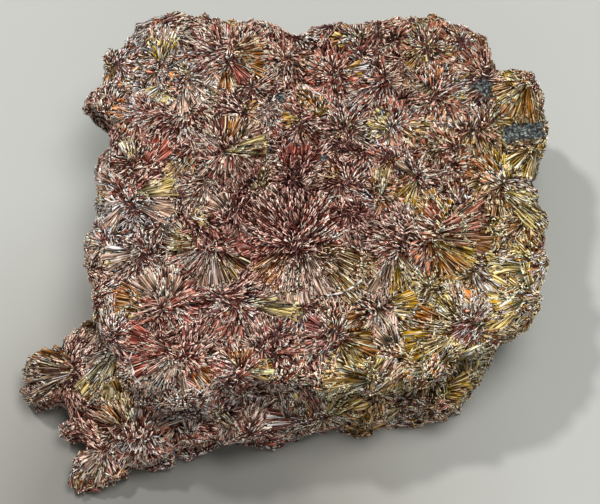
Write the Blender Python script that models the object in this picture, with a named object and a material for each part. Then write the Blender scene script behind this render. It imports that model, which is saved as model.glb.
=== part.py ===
"""Pyrophyllite specimen: a broken slab of rock built of radiating blade rosettes.

Axes: +X runs along the longest side, +Y to the back edge, +Z up out of the broken
face that carries the rosettes. The origin is on the flat that the stone rests on,
under the middle of its block. The script models in millimetres and scales to metres
at the end.
"""
import math
import random

import bmesh
import bpy
import numpy as np
from mathutils import Vector, noise
from mathutils.bvhtree import BVHTree

MM = 0.001
SEED = 7
FRACTURE_SEED = 5

# Driving heights of the four lumps that make the stone, in millimetres
BLOCK_HEIGHT = 35.0
LOBE_HEIGHT = 15.0
FOOT_HEIGHT = 13.0
CORNER_HEIGHT = 20.0
BURIED_DEPTH = 3.0

# Side profile of a lump: levels as shares of its height, widths as shares of its outline
BASE_WIDTH = 0.78
HEEL_HEIGHT = 0.20
HEEL_WIDTH = 0.90
WAIST_HEIGHT = 0.48
WAIST_WIDTH = 0.965
RIM_BEVEL = 2.2

# How much the top of each lump rises per millimetre along +X and +Y
BLOCK_TILT = (0.0, 0.05)
LOBE_TILT = (0.30, 0.10)
FOOT_TILT = (0.05, 0.50)
CORNER_TILT = (-0.10, 0.75)

# Plan outlines of the four lumps, anticlockwise seen from above, in millimetres
BLOCK_OUTLINE = [
    (54, -22), (54, -12), (53.5, -3), (52, 5), (53, 10), (56, 17), (57, 27),
    (53.5, 33), (46.5, 33), (43.5, 38), (39, 41), (33, 44.5), (26, 45), (17, 44), (8, 45),
    (-1.5, 44), (-10, 46), (-20, 45), (-28.5, 46), (-36, 44), (-40, 41), (-45.5, 39),
    (-46.5, 31), (-49.5, 26.5), (-42, 21.5), (-44.5, 12), (-45.5, 5), (-47.5, -6), (-48, -12),
    (-45.5, -18), (-46.5, -24), (-38.5, -34), (-38.5, -40), (-33.5, -45), (-20, -46), (-9, -42),
    (1, -41), (7, -44), (17, -43.5), (24, -41), (32, -36.5), (42, -32.5), (49.5, -28),
]
LOBE_OUTLINE = [
    (-40, -16), (-49, -23), (-54, -26.5), (-62, -30), (-65, -32.5), (-63.5, -34.5), (-65, -37),
    (-62, -39.5), (-55, -40), (-51, -42), (-36, -44), (-28, -30),
]
FOOT_OUTLINE = [
    (-30, -26), (-50, -40), (-53.5, -46), (-47.5, -49), (-53, -56), (-51.5, -60),
    (-43, -58.5), (-36, -52.5), (-24, -49.5), (-10, -48), (1, -47), (8, -44), (6, -28),
]
CORNER_OUTLINE = [
    (-6, -44), (12, -45), (32.5, -44), (36, -41.5), (41, -36), (45.5, -29), (42, -20), (10, -30),
]

# Broad swells and hollows of the broken face: x, y, radius, height, in millimetres
SWELLS = [
    (48, -18, 24, -3.0), (-50, 12, 20, -5.0), (-46, 34, 16, -3.0), (-40, -18, 16, -4.0),
    (-24, -36, 18, 1.5), (2, 3, 16, -3.0), (4, -20, 12, 2.0), (30, -6, 18, 1.8),
    (-26, 8, 15, 1.8), (34, 26, 18, -2.0), (24, -38, 14, -4.0), (-12, 26, 14, 1.6),
    (-64, -36, 14, -6.0), (-52, -58, 14, -8.0), (54, 12, 14, -4.0), (10, 42, 16, -2.0),
]

# Rosettes that show best on the stone: x, y, z near its surface, radius, in millimetres
MAIN_ROSETTES = [
    (-17, 35, 34, 7.5), (-32, 33, 33, 5), (-27, 29, 34, 4), (-27, 20, 34, 6), (-17, 12, 34, 7.5),
    (-37, 7, 33, 6.5), (-40, 2, 32, 7), (-28, 1, 34, 3.5), (-15, -4, 34, 6), (-20, -11, 34, 8),
    (-32, -6, 33, 4.5), (-36, -12, 32, 5.5), (-30, -25, 32, 8), (-27, -35, 32, 9.5),
    (-41, -31, 28, 7), (-14, -40, 33, 6.5), (-15, -24, 33, 7), (-6, -33, 33, 5.5),
    (-1, -9, 34, 12.5), (22, -11, 34, 8), (28, -9, 34, 9), (27, 6, 34, 5), (22, 10, 34, 5),
    (41, -4, 33, 5), (45, 4, 31, 7.5), (54, -13, 24, 8), (53, -19, 22, 7.5), (38, -29, 27, 9.5),
    (39, -15, 30, 5), (18, -26, 33, 7.5), (9, -32, 33, 6.5), (23, -36, 30, 6), (30, -37, 24, 8.5),
    (30, -41, 18, 6), (24, -42, 16, 5), (5, -46, 15, 7.5), (-10, -46, 12, 6.5),
    (-38, -49, 12, 9.5), (-50, -34, 14, 8.5), (-44, -51, 10, 7), (-3, 34, 34, 5.5),
    (8, 31, 34, 5.5), (15, 35, 34, 4.5), (1, 19, 34, 5.5), (10, 17, 34, 5), (22, 18, 34, 5.5),
    (33, 26, 34, 6), (29, 37, 34, 5.5), (41, 18, 33, 6), (10, 6, 34, 5.5), (10, -2, 34, 4.5),
    (-2, 7, 34, 5.5), (-10, 26, 34, 5), (-41, 35, 32, 5), (-44, 16, 30, 5), (52, 30, 30, 5),
    (50, 14, 30, 5), (17, -37, 18, 5.5), (-25, -44, 10, 6.5), (0, -42, 20, 5.5),
]
MAIN_DEPTH = 0.15

# The other rosettes lie at random in this block of rock: two of its corners, and their radii
ROCK_LOW = (-68.0, -64.0, 0.0)
ROCK_HIGH = (62.0, 52.0, 42.0)
ROSETTE_RADIUS = (5.0, 8.5)
ROSETTE_TRIES = 20000
ROSETTE_CLEARANCE = 0.72

# Relief of one rosette, in millimetres, with the number of blades for each millimetre of radius
BLADES_PER_RADIUS = (1.3, 1.8)
BLADE_RIDGE = 1.2
BLADE_STEP = 0.5
ROSETTE_DOME = (-1.0, 1.3)
MIDDLE_SHARE = 0.3
SEAM_DEPTH = 1.3
SEAM_WIDTH = 1.1
FRACTURE_RELIEF = 2.8
FRACTURE_SIZE = 24.0
RUBBLE_RELIEF = 1.2
RUBBLE_SIZE = 8.0
BASE_FADE = 1.5

# Fineness of the surface while it is carved, and its triangles once it is faceted
VOXEL = 0.9
SMOOTH_STRENGTH = 0.5
SMOOTH_PASSES = 6
TRIANGLE_BUDGET = 9400

ROCK_COLOUR = (0.235, 0.128, 0.098, 1.0)
ROCK_ROUGHNESS = 0.42


def clear_scene():
    for old in list(bpy.data.objects):
        bpy.data.objects.remove(old, do_unlink=True)


def rock_material():
    material = bpy.data.materials.new("pyrophyllite")
    material.use_nodes = True
    shader = material.node_tree.nodes["Principled BSDF"]
    shader.inputs["Base Color"].default_value = ROCK_COLOUR
    shader.inputs["Roughness"].default_value = ROCK_ROUGHNESS
    shader.inputs["Metallic"].default_value = 0.0
    return material


def add_lump(bm, outline, height, tilt):
    """One closed lump: a tilted top with a bevelled rim, and sides that lean in to the foot."""
    centre_x = sum(x for x, _ in outline) / len(outline)
    centre_y = sum(y for _, y in outline) / len(outline)
    rim_shrink = 1.0 - RIM_BEVEL / max(abs(x - centre_x) for x, _ in outline)
    levels = [
        (0.0, BASE_WIDTH),
        (HEEL_HEIGHT, HEEL_WIDTH),
        (WAIST_HEIGHT, WAIST_WIDTH),
        (1.0 - RIM_BEVEL / height, 1.0),
        (1.0, rim_shrink),
    ]
    rings = []
    for share, width in levels:
        ring = []
        for x, y in outline:
            away_x = (x - centre_x) * width
            away_y = (y - centre_y) * width
            top = height + tilt[0] * away_x + tilt[1] * away_y
            z = share * (top + BURIED_DEPTH) - BURIED_DEPTH
            ring.append(bm.verts.new((centre_x + away_x, centre_y + away_y, z)))
        rings.append(ring)
    count = len(outline)
    for lower, upper in zip(rings, rings[1:]):
        for i in range(count):
            j = (i + 1) % count
            bm.faces.new((lower[i], lower[j], upper[j], upper[i]))
    bm.faces.new(list(reversed(rings[0])))
    bm.faces.new(rings[-1])


def modified(mesh, kind, **settings):
    """A copy of the mesh with one modifier carried out."""
    holder = bpy.data.objects.new("holder", mesh)
    bpy.context.collection.objects.link(holder)
    modifier = holder.modifiers.new("step", kind)
    for name, value in settings.items():
        setattr(modifier, name, value)
    depsgraph = bpy.context.evaluated_depsgraph_get()
    result = bpy.data.meshes.new_from_object(holder.evaluated_get(depsgraph), depsgraph=depsgraph)
    bpy.data.objects.remove(holder, do_unlink=True)
    return result


def vertex_arrays(mesh):
    """Positions and normals of all vertices, one row for each."""
    points = np.empty(len(mesh.vertices) * 3)
    normals = np.empty(len(mesh.vertices) * 3)
    mesh.vertices.foreach_get("co", points)
    mesh.vertices.foreach_get("normal", normals)
    return points.reshape(-1, 3), normals.reshape(-1, 3)


def rough_stone():
    """The four lumps fused by a voxel remesh and smoothed into one body."""
    bm = bmesh.new()
    add_lump(bm, BLOCK_OUTLINE, BLOCK_HEIGHT, BLOCK_TILT)
    add_lump(bm, LOBE_OUTLINE, LOBE_HEIGHT, LOBE_TILT)
    add_lump(bm, FOOT_OUTLINE, FOOT_HEIGHT, FOOT_TILT)
    add_lump(bm, CORNER_OUTLINE, CORNER_HEIGHT, CORNER_TILT)
    lumps = bpy.data.meshes.new("lumps")
    bm.to_mesh(lumps)
    bm.free()
    fused = modified(lumps, "REMESH", mode="VOXEL", voxel_size=VOXEL)
    return modified(fused, "SMOOTH", factor=SMOOTH_STRENGTH, iterations=SMOOTH_PASSES)


def swell_face(mesh):
    """Raise and lower the upper surface by the broad swells, leaving the foot alone."""
    points, _ = vertex_arrays(mesh)
    lift = np.zeros(len(points))
    for x, y, radius, height in SWELLS:
        distance = np.hypot(points[:, 0] - x, points[:, 1] - y)
        lift += height * np.exp(-((distance / radius) ** 2))
    share = np.clip(points[:, 2] / BLOCK_HEIGHT, 0.0, 1.0)
    points[:, 2] += lift * share
    mesh.vertices.foreach_set("co", points.ravel())
    mesh.update()


def place_rosettes(surface, chance):
    """Centres and radii in the rock: the main ones just under its surface, the rest anywhere."""
    centres = []
    radii = []
    for x, y, z, radius in MAIN_ROSETTES:
        place, normal, _, _ = surface.find_nearest(Vector((x, y, z)))
        centres.append(place - normal * (MAIN_DEPTH * radius))
        radii.append(radius)
    taken = [(x, y, z) for x, y, z, _ in MAIN_ROSETTES]
    for _ in range(ROSETTE_TRIES):
        place = [chance.uniform(low, high) for low, high in zip(ROCK_LOW, ROCK_HIGH)]
        radius = chance.uniform(*ROSETTE_RADIUS)
        apart = np.linalg.norm(np.array(taken) - place, axis=1)
        if (apart > ROSETTE_CLEARANCE * (np.array(radii) + radius)).all():
            centres.append(place)
            taken.append(place)
            radii.append(radius)
    return np.array([tuple(centre) for centre in centres]), np.array(radii)


def nearest_rosettes(points, centres, radii):
    """The rosette of each point, with the shares of their radii to that one and to the next."""
    owner = np.zeros(len(points), dtype=int)
    nearest = np.full(len(points), np.inf)
    second = np.full(len(points), np.inf)
    for number, (centre, radius) in enumerate(zip(centres, radii)):
        share = np.linalg.norm(points - centre, axis=1) / radius
        closer = share < nearest
        second = np.where(closer, nearest, np.minimum(second, share))
        nearest = np.where(closer, share, nearest)
        owner[closer] = number
    return owner, nearest, second


def blade_relief(angle, reach, radius, chance):
    """One rosette: ridges that run out from a smooth middle, some higher than others."""
    blades = round(radius * chance.uniform(*BLADES_PER_RADIUS))
    turn = chance.random()
    phase = (angle / math.tau + turn) * blades
    blade = np.floor(phase).astype(int) % blades
    ridge = 1.0 - np.abs(2.0 * (phase - np.floor(phase)) - 1.0)
    steps = np.array([chance.uniform(-1.0, 1.0) for _ in range(blades)])
    dome = chance.uniform(*ROSETTE_DOME)
    out_of_middle = np.clip(reach / MIDDLE_SHARE, 0.0, 1.0)
    height = BLADE_RIDGE * (ridge - 0.5) + BLADE_STEP * steps[blade]
    return dome * (1.0 - reach**2) + out_of_middle * height


def rosette_relief(mesh, chance):
    """Height of the blade ridges, the domes and the seams between rosettes at each vertex."""
    points, _ = vertex_arrays(mesh)
    faces = [tuple(face.vertices) for face in mesh.polygons]
    surface = BVHTree.FromPolygons([tuple(point) for point in points], faces)
    centres, radii = place_rosettes(surface, chance)
    owner, nearest, second = nearest_rosettes(points, centres, radii)
    seam_gap = (second - nearest) * radii[owner]
    relief = -SEAM_DEPTH * np.exp(-((seam_gap / SEAM_WIDTH) ** 2))
    shown = np.unique(owner)
    for number in shown:
        members = np.flatnonzero(owner == number)
        _, normal, _, _ = surface.find_nearest(Vector(centres[number]))
        side = normal.orthogonal().normalized()
        across = normal.cross(side)
        offset = points[members] - centres[number]
        angle = np.arctan2(offset @ np.array(across), offset @ np.array(side))
        reach = np.clip(nearest[members], 0.0, 1.0)
        relief[members] += blade_relief(angle, reach, radii[number], chance)
    print("rosettes at the surface:", len(shown), "of", len(radii))
    return relief


def carve_rosettes(mesh, chance):
    """Shift every vertex by the rosettes, the rubble and the broad fracture relief."""
    relief = rosette_relief(mesh, chance)
    points, normals = vertex_arrays(mesh)
    rubble = np.array([noise.noise(Vector(point) / RUBBLE_SIZE) for point in points])
    fracture = np.array([noise.noise_vector(Vector(point) / FRACTURE_SIZE) for point in points])
    above_base = np.clip(points[:, 2] / BASE_FADE + 1.0, 0.0, 1.0)[:, None]
    shift = normals * (relief + RUBBLE_RELIEF * rubble)[:, None] + FRACTURE_RELIEF * fracture
    points += shift * above_base
    mesh.vertices.foreach_set("co", points.ravel())
    mesh.update()


def facet(mesh):
    """Fewer, larger flat faces: each blade ridge keeps its own facets."""
    triangles = sum(len(face.vertices) - 2 for face in mesh.polygons)
    ratio = TRIANGLE_BUDGET / triangles
    return modified(mesh, "DECIMATE", ratio=ratio, use_collapse_triangulate=True)


def keep_largest_body(bm):
    """Drop stray crumbs and sealed pockets, which are bodies apart from the stone."""
    bm.verts.ensure_lookup_table()
    waiting = set(bm.verts)
    largest = set()
    for seed in bm.verts:
        if seed not in waiting:
            continue
        waiting.remove(seed)
        body = {seed}
        growing = [seed]
        while growing:
            vert = growing.pop()
            for link in vert.link_edges:
                other = link.other_vert(vert)
                if other in waiting:
                    waiting.remove(other)
                    body.add(other)
                    growing.append(other)
        if len(body) > len(largest):
            largest = body
    strays = [vert for vert in bm.verts if vert not in largest]
    bmesh.ops.delete(bm, geom=strays, context="VERTS")


def cut_flat_base(bm):
    """Saw the underside flat on the ground plane and close the cut."""
    everything = bm.verts[:] + bm.edges[:] + bm.faces[:]
    cut = bmesh.ops.bisect_plane(
        bm, geom=everything, plane_co=(0, 0, 0), plane_no=(0, 0, -1), clear_outer=True
    )
    rim = [item for item in cut["geom_cut"] if isinstance(item, bmesh.types.BMEdge)]
    filled = bmesh.ops.holes_fill(bm, edges=rim, sides=0)
    bmesh.ops.triangulate(bm, faces=filled["faces"])


def build_specimen():
    chance = random.Random(SEED)
    noise.seed_set(FRACTURE_SEED)
    mesh = rough_stone()
    swell_face(mesh)
    carve_rosettes(mesh, chance)
    bm = bmesh.new()
    bm.from_mesh(facet(mesh))
    cut_flat_base(bm)
    keep_largest_body(bm)
    bmesh.ops.scale(bm, vec=(MM, MM, MM), verts=bm.verts)
    bm.normal_update()
    final = bpy.data.meshes.new("pyrophyllite_specimen")
    bm.to_mesh(final)
    bm.free()
    final.materials.append(rock_material())
    specimen = bpy.data.objects.new("pyrophyllite_specimen", final)
    bpy.context.collection.objects.link(specimen)
    print("faces:", len(final.polygons))


clear_scene()
build_specimen()
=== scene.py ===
# %% [markdown]
# # A pyrophyllite specimen
# The real thing is a broken slab of rock. All of it is made of rosettes, balls of thin bladed
# crystals that grew outwards from a point until they met their neighbours. The break cuts through
# hundreds of them, so the surface shows stars and fans of blades that catch the light.
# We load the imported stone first, because every blade has to grow out of its surface.

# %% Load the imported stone
import math
import random

import bpy
import numpy as np
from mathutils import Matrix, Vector, noise
from mathutils.bvhtree import BVHTree


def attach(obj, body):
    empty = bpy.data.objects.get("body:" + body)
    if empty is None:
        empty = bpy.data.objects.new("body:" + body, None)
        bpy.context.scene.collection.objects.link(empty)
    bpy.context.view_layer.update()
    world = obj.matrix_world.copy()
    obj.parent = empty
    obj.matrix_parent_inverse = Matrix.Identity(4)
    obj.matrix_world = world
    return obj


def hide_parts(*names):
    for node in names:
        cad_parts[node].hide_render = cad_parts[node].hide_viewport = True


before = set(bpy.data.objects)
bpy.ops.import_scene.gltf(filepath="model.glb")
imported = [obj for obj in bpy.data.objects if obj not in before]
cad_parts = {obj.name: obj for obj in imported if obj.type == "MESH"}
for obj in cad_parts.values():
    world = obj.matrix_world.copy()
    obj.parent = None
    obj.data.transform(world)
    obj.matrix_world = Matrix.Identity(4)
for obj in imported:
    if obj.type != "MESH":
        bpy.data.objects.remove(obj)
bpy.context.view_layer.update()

MM = 0.001
STONE = "pyrophyllite_specimen"
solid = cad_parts[STONE]
print("the solid stone has", len(solid.data.polygons), "faces")

# %% [markdown]
# ## Where the photograph was taken from
# The stone lies on a table and the camera looks steeply down on it from the front, far enough
# away that the lines of sight are nearly parallel. A long lens at half a metre gives that.
# The same numbers also let us say where a thing shows in the picture: `in_picture` gives
# its place across and up from the middle of the picture, in millimetres at the stone.

# %% The camera
ELEVATION = math.radians(70.0)
DISTANCE = 500.0
AIM = np.array([0.0, -7.5, 20.0])
SENSOR = 36.0
FRAME_WIDTH = 600
PIXELS_PER_MM = 4.4
NEAREST_SHOWN = 0.01


def add_object(name, data):
    """A new object in the scene for a camera, a light or a mesh."""
    made = bpy.data.objects.new(name, data)
    bpy.context.collection.objects.link(made)
    return made


to_camera = np.array([0.0, -math.cos(ELEVATION), math.sin(ELEVATION)])
picture_right = np.array([1.0, 0.0, 0.0])
picture_up = np.cross(to_camera, picture_right)
eye = AIM + to_camera * DISTANCE

lens = bpy.data.cameras.new("camera")
lens.sensor_width = SENSOR
lens.lens = PIXELS_PER_MM * DISTANCE * SENSOR / FRAME_WIDTH
lens.clip_start = NEAREST_SHOWN
camera = add_object("camera", lens)
camera.location = Vector(eye * MM)
camera.rotation_euler = (math.pi / 2 - ELEVATION, 0.0, 0.0)
bpy.context.scene.camera = camera


def in_picture(points):
    """Places across and up in the picture plane, in millimetres, of points in millimetres."""
    away = points - eye
    depth = -(away @ to_camera)
    return DISTANCE * (away @ picture_right) / depth, DISTANCE * (away @ picture_up) / depth


print("lens", round(lens.lens, 1), "mm")

# %% [markdown]
# ## Shader maths as plain sums
# A finish is a tree of nodes. Wiring it node by node hides the idea, so one small class wraps
# a socket: `1 - mask` or `streaks * 0.5 + 0.7` then adds the Math nodes by itself.
# Colours don't go through Math nodes, which would turn them grey: they have their own methods.
# A finish adds every node by one method, and the kinds that it adds often have a short name too.

# %% A socket that can be used in sums
class Shade:
    """One output of a finish's node tree."""

    def __init__(self, finish, socket):
        self.finish = finish
        self.socket = socket

    def maths(self, operation, *values):
        sockets = dict(enumerate(values))
        return self.finish.node("ShaderNodeMath", {"operation": operation}, sockets)

    def __add__(self, other):
        return self.maths("ADD", self, other)

    def __sub__(self, other):
        return self.maths("SUBTRACT", self, other)

    def __rsub__(self, other):
        return self.maths("SUBTRACT", other, self)

    def __mul__(self, other):
        return self.maths("MULTIPLY", self, other)

    __radd__ = __add__
    __rmul__ = __mul__

    def clipped(self, low=0.0, high=1.0):
        """The value kept between two limits."""
        return self.finish.node("ShaderNodeClamp", {}, {"Value": self, "Min": low, "Max": high})

    def times_each(self, factors):
        """The vector or colour with each of its parts multiplied by its own factor."""
        return self.finish.node(
            "ShaderNodeVectorMath", {"operation": "MULTIPLY"}, {0: self, 1: factors}
        )

    def dimmed(self, amount):
        """The colour multiplied by one amount."""
        return self.finish.node(
            "ShaderNodeVectorMath", {"operation": "SCALE"}, {0: self, "Scale": amount}
        )

    def mixed(self, other, share):
        """This colour with a share of another."""
        return self.finish.node(
            "ShaderNodeMix", {"data_type": "RGBA"}, {0: share, 6: self, 7: other}, 2
        )


# %% A finish that adds its own nodes
class Finish:
    """A material in the making, around its Principled shader."""

    def __init__(self, name):
        self.material = bpy.data.materials.new(name)
        self.material.use_nodes = True
        self.tree = self.material.node_tree
        self.shader = self.tree.nodes["Principled BSDF"]

    def feed(self, socket, value):
        """Link a shade to a socket, or set the socket's own value."""
        if isinstance(value, Shade):
            self.tree.links.new(value.socket, socket)
        else:
            socket.default_value = value

    def node(self, kind, settings, sockets, output=0):
        """A node with its settings made first, then its sockets filled or linked."""
        made = self.tree.nodes.new(kind)
        for name, value in settings.items():
            if name == "stops":
                set_stops(made.color_ramp, value)
            else:
                setattr(made, name, value)
        for name, value in sockets.items():
            self.feed(made.inputs[name], value)
        return Shade(self, made.outputs[output])

    def cloud(self, place, scale, detail):
        """A random value from 0 to 1 that changes smoothly from place to place."""
        sockets = {"Vector": place, "Scale": scale, "Detail": detail}
        return self.node("ShaderNodeTexNoise", {}, sockets)

    def stored(self, name, output):
        """What the mesh stores under a name: a Color, a Vector or a single Fac."""
        return self.node("ShaderNodeAttribute", {"attribute_name": name}, {}, output)

    def own_place(self):
        """The place on the object itself, in metres."""
        return self.node("ShaderNodeTexCoord", {}, {}, "Object")

    def wear(self, **sockets):
        """Fill or link the shader's own sockets, named with _ for a space."""
        for name, value in sockets.items():
            self.feed(self.shader.inputs[name.replace("_", " ")], value)


def set_stops(ramp, stops):
    """Place the stops of a colour ramp: each a place from 0 to 1 and a colour."""
    while len(ramp.elements) < len(stops):
        ramp.elements.new(1.0)
    for element, (place, colour) in zip(ramp.elements, stops):
        element.position = place
        element.color = colour


# %% Colours as a paint chart names them
CHART_TOP = 255
STRAIGHT_END = 0.04045
STRAIGHT_SLOPE = 12.92
CURVE_SHIFT = 0.055
CURVE_POWER = 2.4


def srgb(*chart_colour):
    """A colour from three numbers of 0 to 255, turned into the linear light of a render."""
    parts = []
    for part in chart_colour:
        share = part / CHART_TOP
        if share <= STRAIGHT_END:
            parts.append(share / STRAIGHT_SLOPE)
        else:
            parts.append(((share + CURVE_SHIFT) / (1 + CURVE_SHIFT)) ** CURVE_POWER)
    return (*parts, 1.0)


print("half white on the chart is", round(srgb(CHART_TOP / 2)[0], 2), "of the light")

# %% [markdown]
# ## The table and the light
# The stone was photographed on a pale grey table. One small strong light stands high behind it to
# the left. It throws the shadow with a clear edge to the right and front, and makes the blades
# sparkle. A wide soft light overhead, a weak one in front and a dim surround fill the
# shadow, so that the front band doesn't go black. Painted shade darkens the table's colour
# towards the front left.

# %% The table
TABLE_SIZE = 3.0
TABLE_ROUGHNESS = 0.75
# Painted shade: the greys darken towards a place at the front left of the table; the last stop is
# the table's own grey
TABLE_GREYS = [
    (0.12, srgb(118, 117, 112)), (0.3, srgb(126, 125, 119)), (0.36, srgb(137, 136, 129)),
    (0.45, srgb(149, 148, 141)), (0.6, srgb(166, 166, 160)), (0.9, srgb(178, 180, 176)),
]
PAINTED_SHADE_PLACE = (-0.03, -0.068, 0.0)
PAINTED_SHADE_REACH = 10.0
CLOUD_SCALE = 9.0
CLOUD_DETAIL = 3.0
CLOUD_SHARE = 0.12

table_mesh = bpy.data.meshes.new("table")
table_half = TABLE_SIZE / 2
table_mesh.from_pydata(
    [(-table_half, -table_half, 0), (table_half, -table_half, 0),
     (table_half, table_half, 0), (-table_half, table_half, 0)],
    [],
    [(0, 1, 2, 3)],
)
table = add_object("table", table_mesh)

table_finish = Finish("pale table")
table_place = table_finish.own_place()
# Painted shade: the distance from that place at the front left picks the table's grey
from_painted_shade_place = table_finish.node(
    "ShaderNodeVectorMath", {"operation": "DISTANCE"}, {0: table_place, 1: PAINTED_SHADE_PLACE}, "Value"
)
table_cloud = table_finish.cloud(table_place, CLOUD_SCALE, CLOUD_DETAIL)
table_colour = table_finish.node(
    "ShaderNodeValToRGB",
    {"stops": TABLE_GREYS},
    {"Fac": from_painted_shade_place * PAINTED_SHADE_REACH + table_cloud * CLOUD_SHARE - CLOUD_SHARE / 2},
)
table_finish.wear(Base_Color=table_colour, Roughness=TABLE_ROUGHNESS)
table_mesh.materials.append(table_finish.material)
print("table:", TABLE_SIZE, "metres wide")

# %% The lights
KEY_LIGHT = {"place": (-0.5, 0.47, 1.1), "size": 0.1, "power": 8.0}
OVERHEAD = {"place": (0.25, 0.12, 1.2), "size": 0.5, "power": 10.0}
FRONT_FILL = {"place": (0.1, -1.0, 0.7), "size": 0.9, "power": 1.9}
LAMP_TINT = (1.0, 0.99, 0.975)
SURROUND_GREY = (1.0, 0.98, 0.96, 1.0)
SURROUND_STRENGTH = 0.24


def hang_panel(name, place, size, power):
    """A square soft light aimed at the middle of the stone."""
    panel = bpy.data.lights.new(name, "AREA")
    panel.shape = "SQUARE"
    panel.size = size
    panel.energy = power
    panel.color = LAMP_TINT
    holder = add_object(name, panel)
    holder.location = place
    holder.rotation_euler = (-Vector(place)).to_track_quat("-Z", "Y").to_euler()


hang_panel("key light", **KEY_LIGHT)
hang_panel("overhead", **OVERHEAD)
hang_panel("front fill", **FRONT_FILL)

surround = bpy.data.worlds.new("surround")
surround.use_nodes = True
backdrop = surround.node_tree.nodes["Background"]
backdrop.inputs["Color"].default_value = SURROUND_GREY
backdrop.inputs["Strength"].default_value = SURROUND_STRENGTH
bpy.context.scene.world = surround
bpy.context.scene.view_settings.view_transform = "Standard"

# %% [markdown]
# ## The surface the blades grow from
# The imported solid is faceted, and its flat faces are too coarse to plant fine blades by. We take
# its triangles as arrays and smooth the normals over their neighbours, so that the blades of
# one fan agree with each other though the facets under them don't.

# %% The solid's triangles and smoothed normals
NORMAL_PASSES = 3
WELD_DECIMALS = 3
SHORTEST = 1e-12

solid.data.calc_loop_triangles()
corner = np.empty(len(solid.data.vertices) * 3)
solid.data.vertices.foreach_get("co", corner)
corner = corner.reshape(-1, 3) / MM
triangle = np.empty(len(solid.data.loop_triangles) * 3, dtype=np.int64)
solid.data.loop_triangles.foreach_get("vertices", triangle)
triangle = triangle.reshape(-1, 3)


def unit(vectors):
    """Each row made one long."""
    return vectors / np.maximum(np.linalg.norm(vectors, axis=1, keepdims=True), SHORTEST)


def weld(points):
    """Number the distinct places among the points, and say which one each point is."""
    _, first, same = np.unique(
        np.round(points, WELD_DECIMALS), axis=0, return_index=True, return_inverse=True
    )
    return points[first], same.reshape(-1)


corner, same_corner = weld(corner)
triangle = same_corner[triangle]
cross = np.cross(
    corner[triangle[:, 1]] - corner[triangle[:, 0]],
    corner[triangle[:, 2]] - corner[triangle[:, 0]],
)
area = np.linalg.norm(cross, axis=1) / 2
face_normal = unit(cross)
corner_normal = np.zeros_like(corner)
for side in range(3):
    np.add.at(corner_normal, triangle[:, side], cross)
corner_normal = unit(corner_normal)
for _ in range(NORMAL_PASSES):
    gathered = corner_normal.copy()
    for side in range(3):
        for other in range(3):
            np.add.at(gathered, triangle[:, side], corner_normal[triangle[:, other]])
    corner_normal = unit(gathered)
surface = BVHTree.FromPolygons(corner.tolist(), triangle.tolist())
print("area of the stone", round(area.sum()), "square millimetres")

# %% [markdown]
# ## The rosettes in the rock
# A rosette is a ball of blades round one point. The solid was carved by a list of balls: the ones
# that show best, then random ones packed between them through the whole rock. We repeat
# that list here, so each fan of blades grows out of the ridges that were carved for it.
# Every place on the surface belongs to the ball that reaches it first.

# %% The list of rosettes
# Where the ones that show best are, and their radius: x, y, z, radius
MAIN_ROSETTES = [
    (-17, 35, 34, 7.5), (-32, 33, 33, 5), (-27, 29, 34, 4), (-27, 20, 34, 6), (-17, 12, 34, 7.5),
    (-37, 7, 33, 6.5), (-40, 2, 32, 7), (-28, 1, 34, 3.5), (-15, -4, 34, 6), (-20, -11, 34, 8),
    (-32, -6, 33, 4.5), (-36, -12, 32, 5.5), (-30, -25, 32, 8), (-27, -35, 32, 9.5),
    (-41, -31, 28, 7), (-14, -40, 33, 6.5), (-15, -24, 33, 7), (-6, -33, 33, 5.5),
    (-1, -9, 34, 12.5), (22, -11, 34, 8), (28, -9, 34, 9), (27, 6, 34, 5), (22, 10, 34, 5),
    (41, -4, 33, 5), (45, 4, 31, 7.5), (54, -13, 24, 8), (53, -19, 22, 7.5), (38, -29, 27, 9.5),
    (39, -15, 30, 5), (18, -26, 33, 7.5), (9, -32, 33, 6.5), (23, -36, 30, 6), (30, -37, 24, 8.5),
    (30, -41, 18, 6), (24, -42, 16, 5), (5, -46, 15, 7.5), (-10, -46, 12, 6.5),
    (-38, -49, 12, 9.5), (-50, -34, 14, 8.5), (-44, -51, 10, 7), (-3, 34, 34, 5.5),
    (8, 31, 34, 5.5), (15, 35, 34, 4.5), (1, 19, 34, 5.5), (10, 17, 34, 5), (22, 18, 34, 5.5),
    (33, 26, 34, 6), (29, 37, 34, 5.5), (41, 18, 33, 6), (10, 6, 34, 5.5), (10, -2, 34, 4.5),
    (-2, 7, 34, 5.5), (-10, 26, 34, 5), (-41, 35, 32, 5), (-44, 16, 30, 5), (52, 30, 30, 5),
    (50, 14, 30, 5), (17, -37, 18, 5.5), (-25, -44, 10, 6.5), (0, -42, 20, 5.5),
]
print(len(MAIN_ROSETTES), "rosettes placed by hand")

# %% All the rosettes in the rock
ROSETTE_SEED = 7
MAIN_DEPTH = 0.15
ROCK_LOW = (-68.0, -64.0, 0.0)
ROCK_HIGH = (62.0, 52.0, 42.0)
ROSETTE_RADIUS = (5.0, 8.5)
ROSETTE_TRIES = 20000
ROSETTE_CLEARANCE = 0.72


def place_rosettes():
    """Centres and radii in the rock, in millimetres."""
    chance = random.Random(ROSETTE_SEED)
    centres = []
    radii = []
    for x, y, z, radius in MAIN_ROSETTES:
        place, normal, _, _ = surface.find_nearest(Vector((x, y, z)))
        centres.append(tuple(place - normal * (MAIN_DEPTH * radius)))
        radii.append(radius)
    taken = [(x, y, z) for x, y, z, _ in MAIN_ROSETTES]
    for _ in range(ROSETTE_TRIES):
        place = tuple(chance.uniform(low, high) for low, high in zip(ROCK_LOW, ROCK_HIGH))
        radius = chance.uniform(*ROSETTE_RADIUS)
        apart = np.linalg.norm(np.array(taken) - place, axis=1)
        if (apart > ROSETTE_CLEARANCE * (np.array(radii) + radius)).all():
            centres.append(place)
            taken.append(place)
            radii.append(radius)
    return np.array(centres), np.array(radii)


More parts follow.
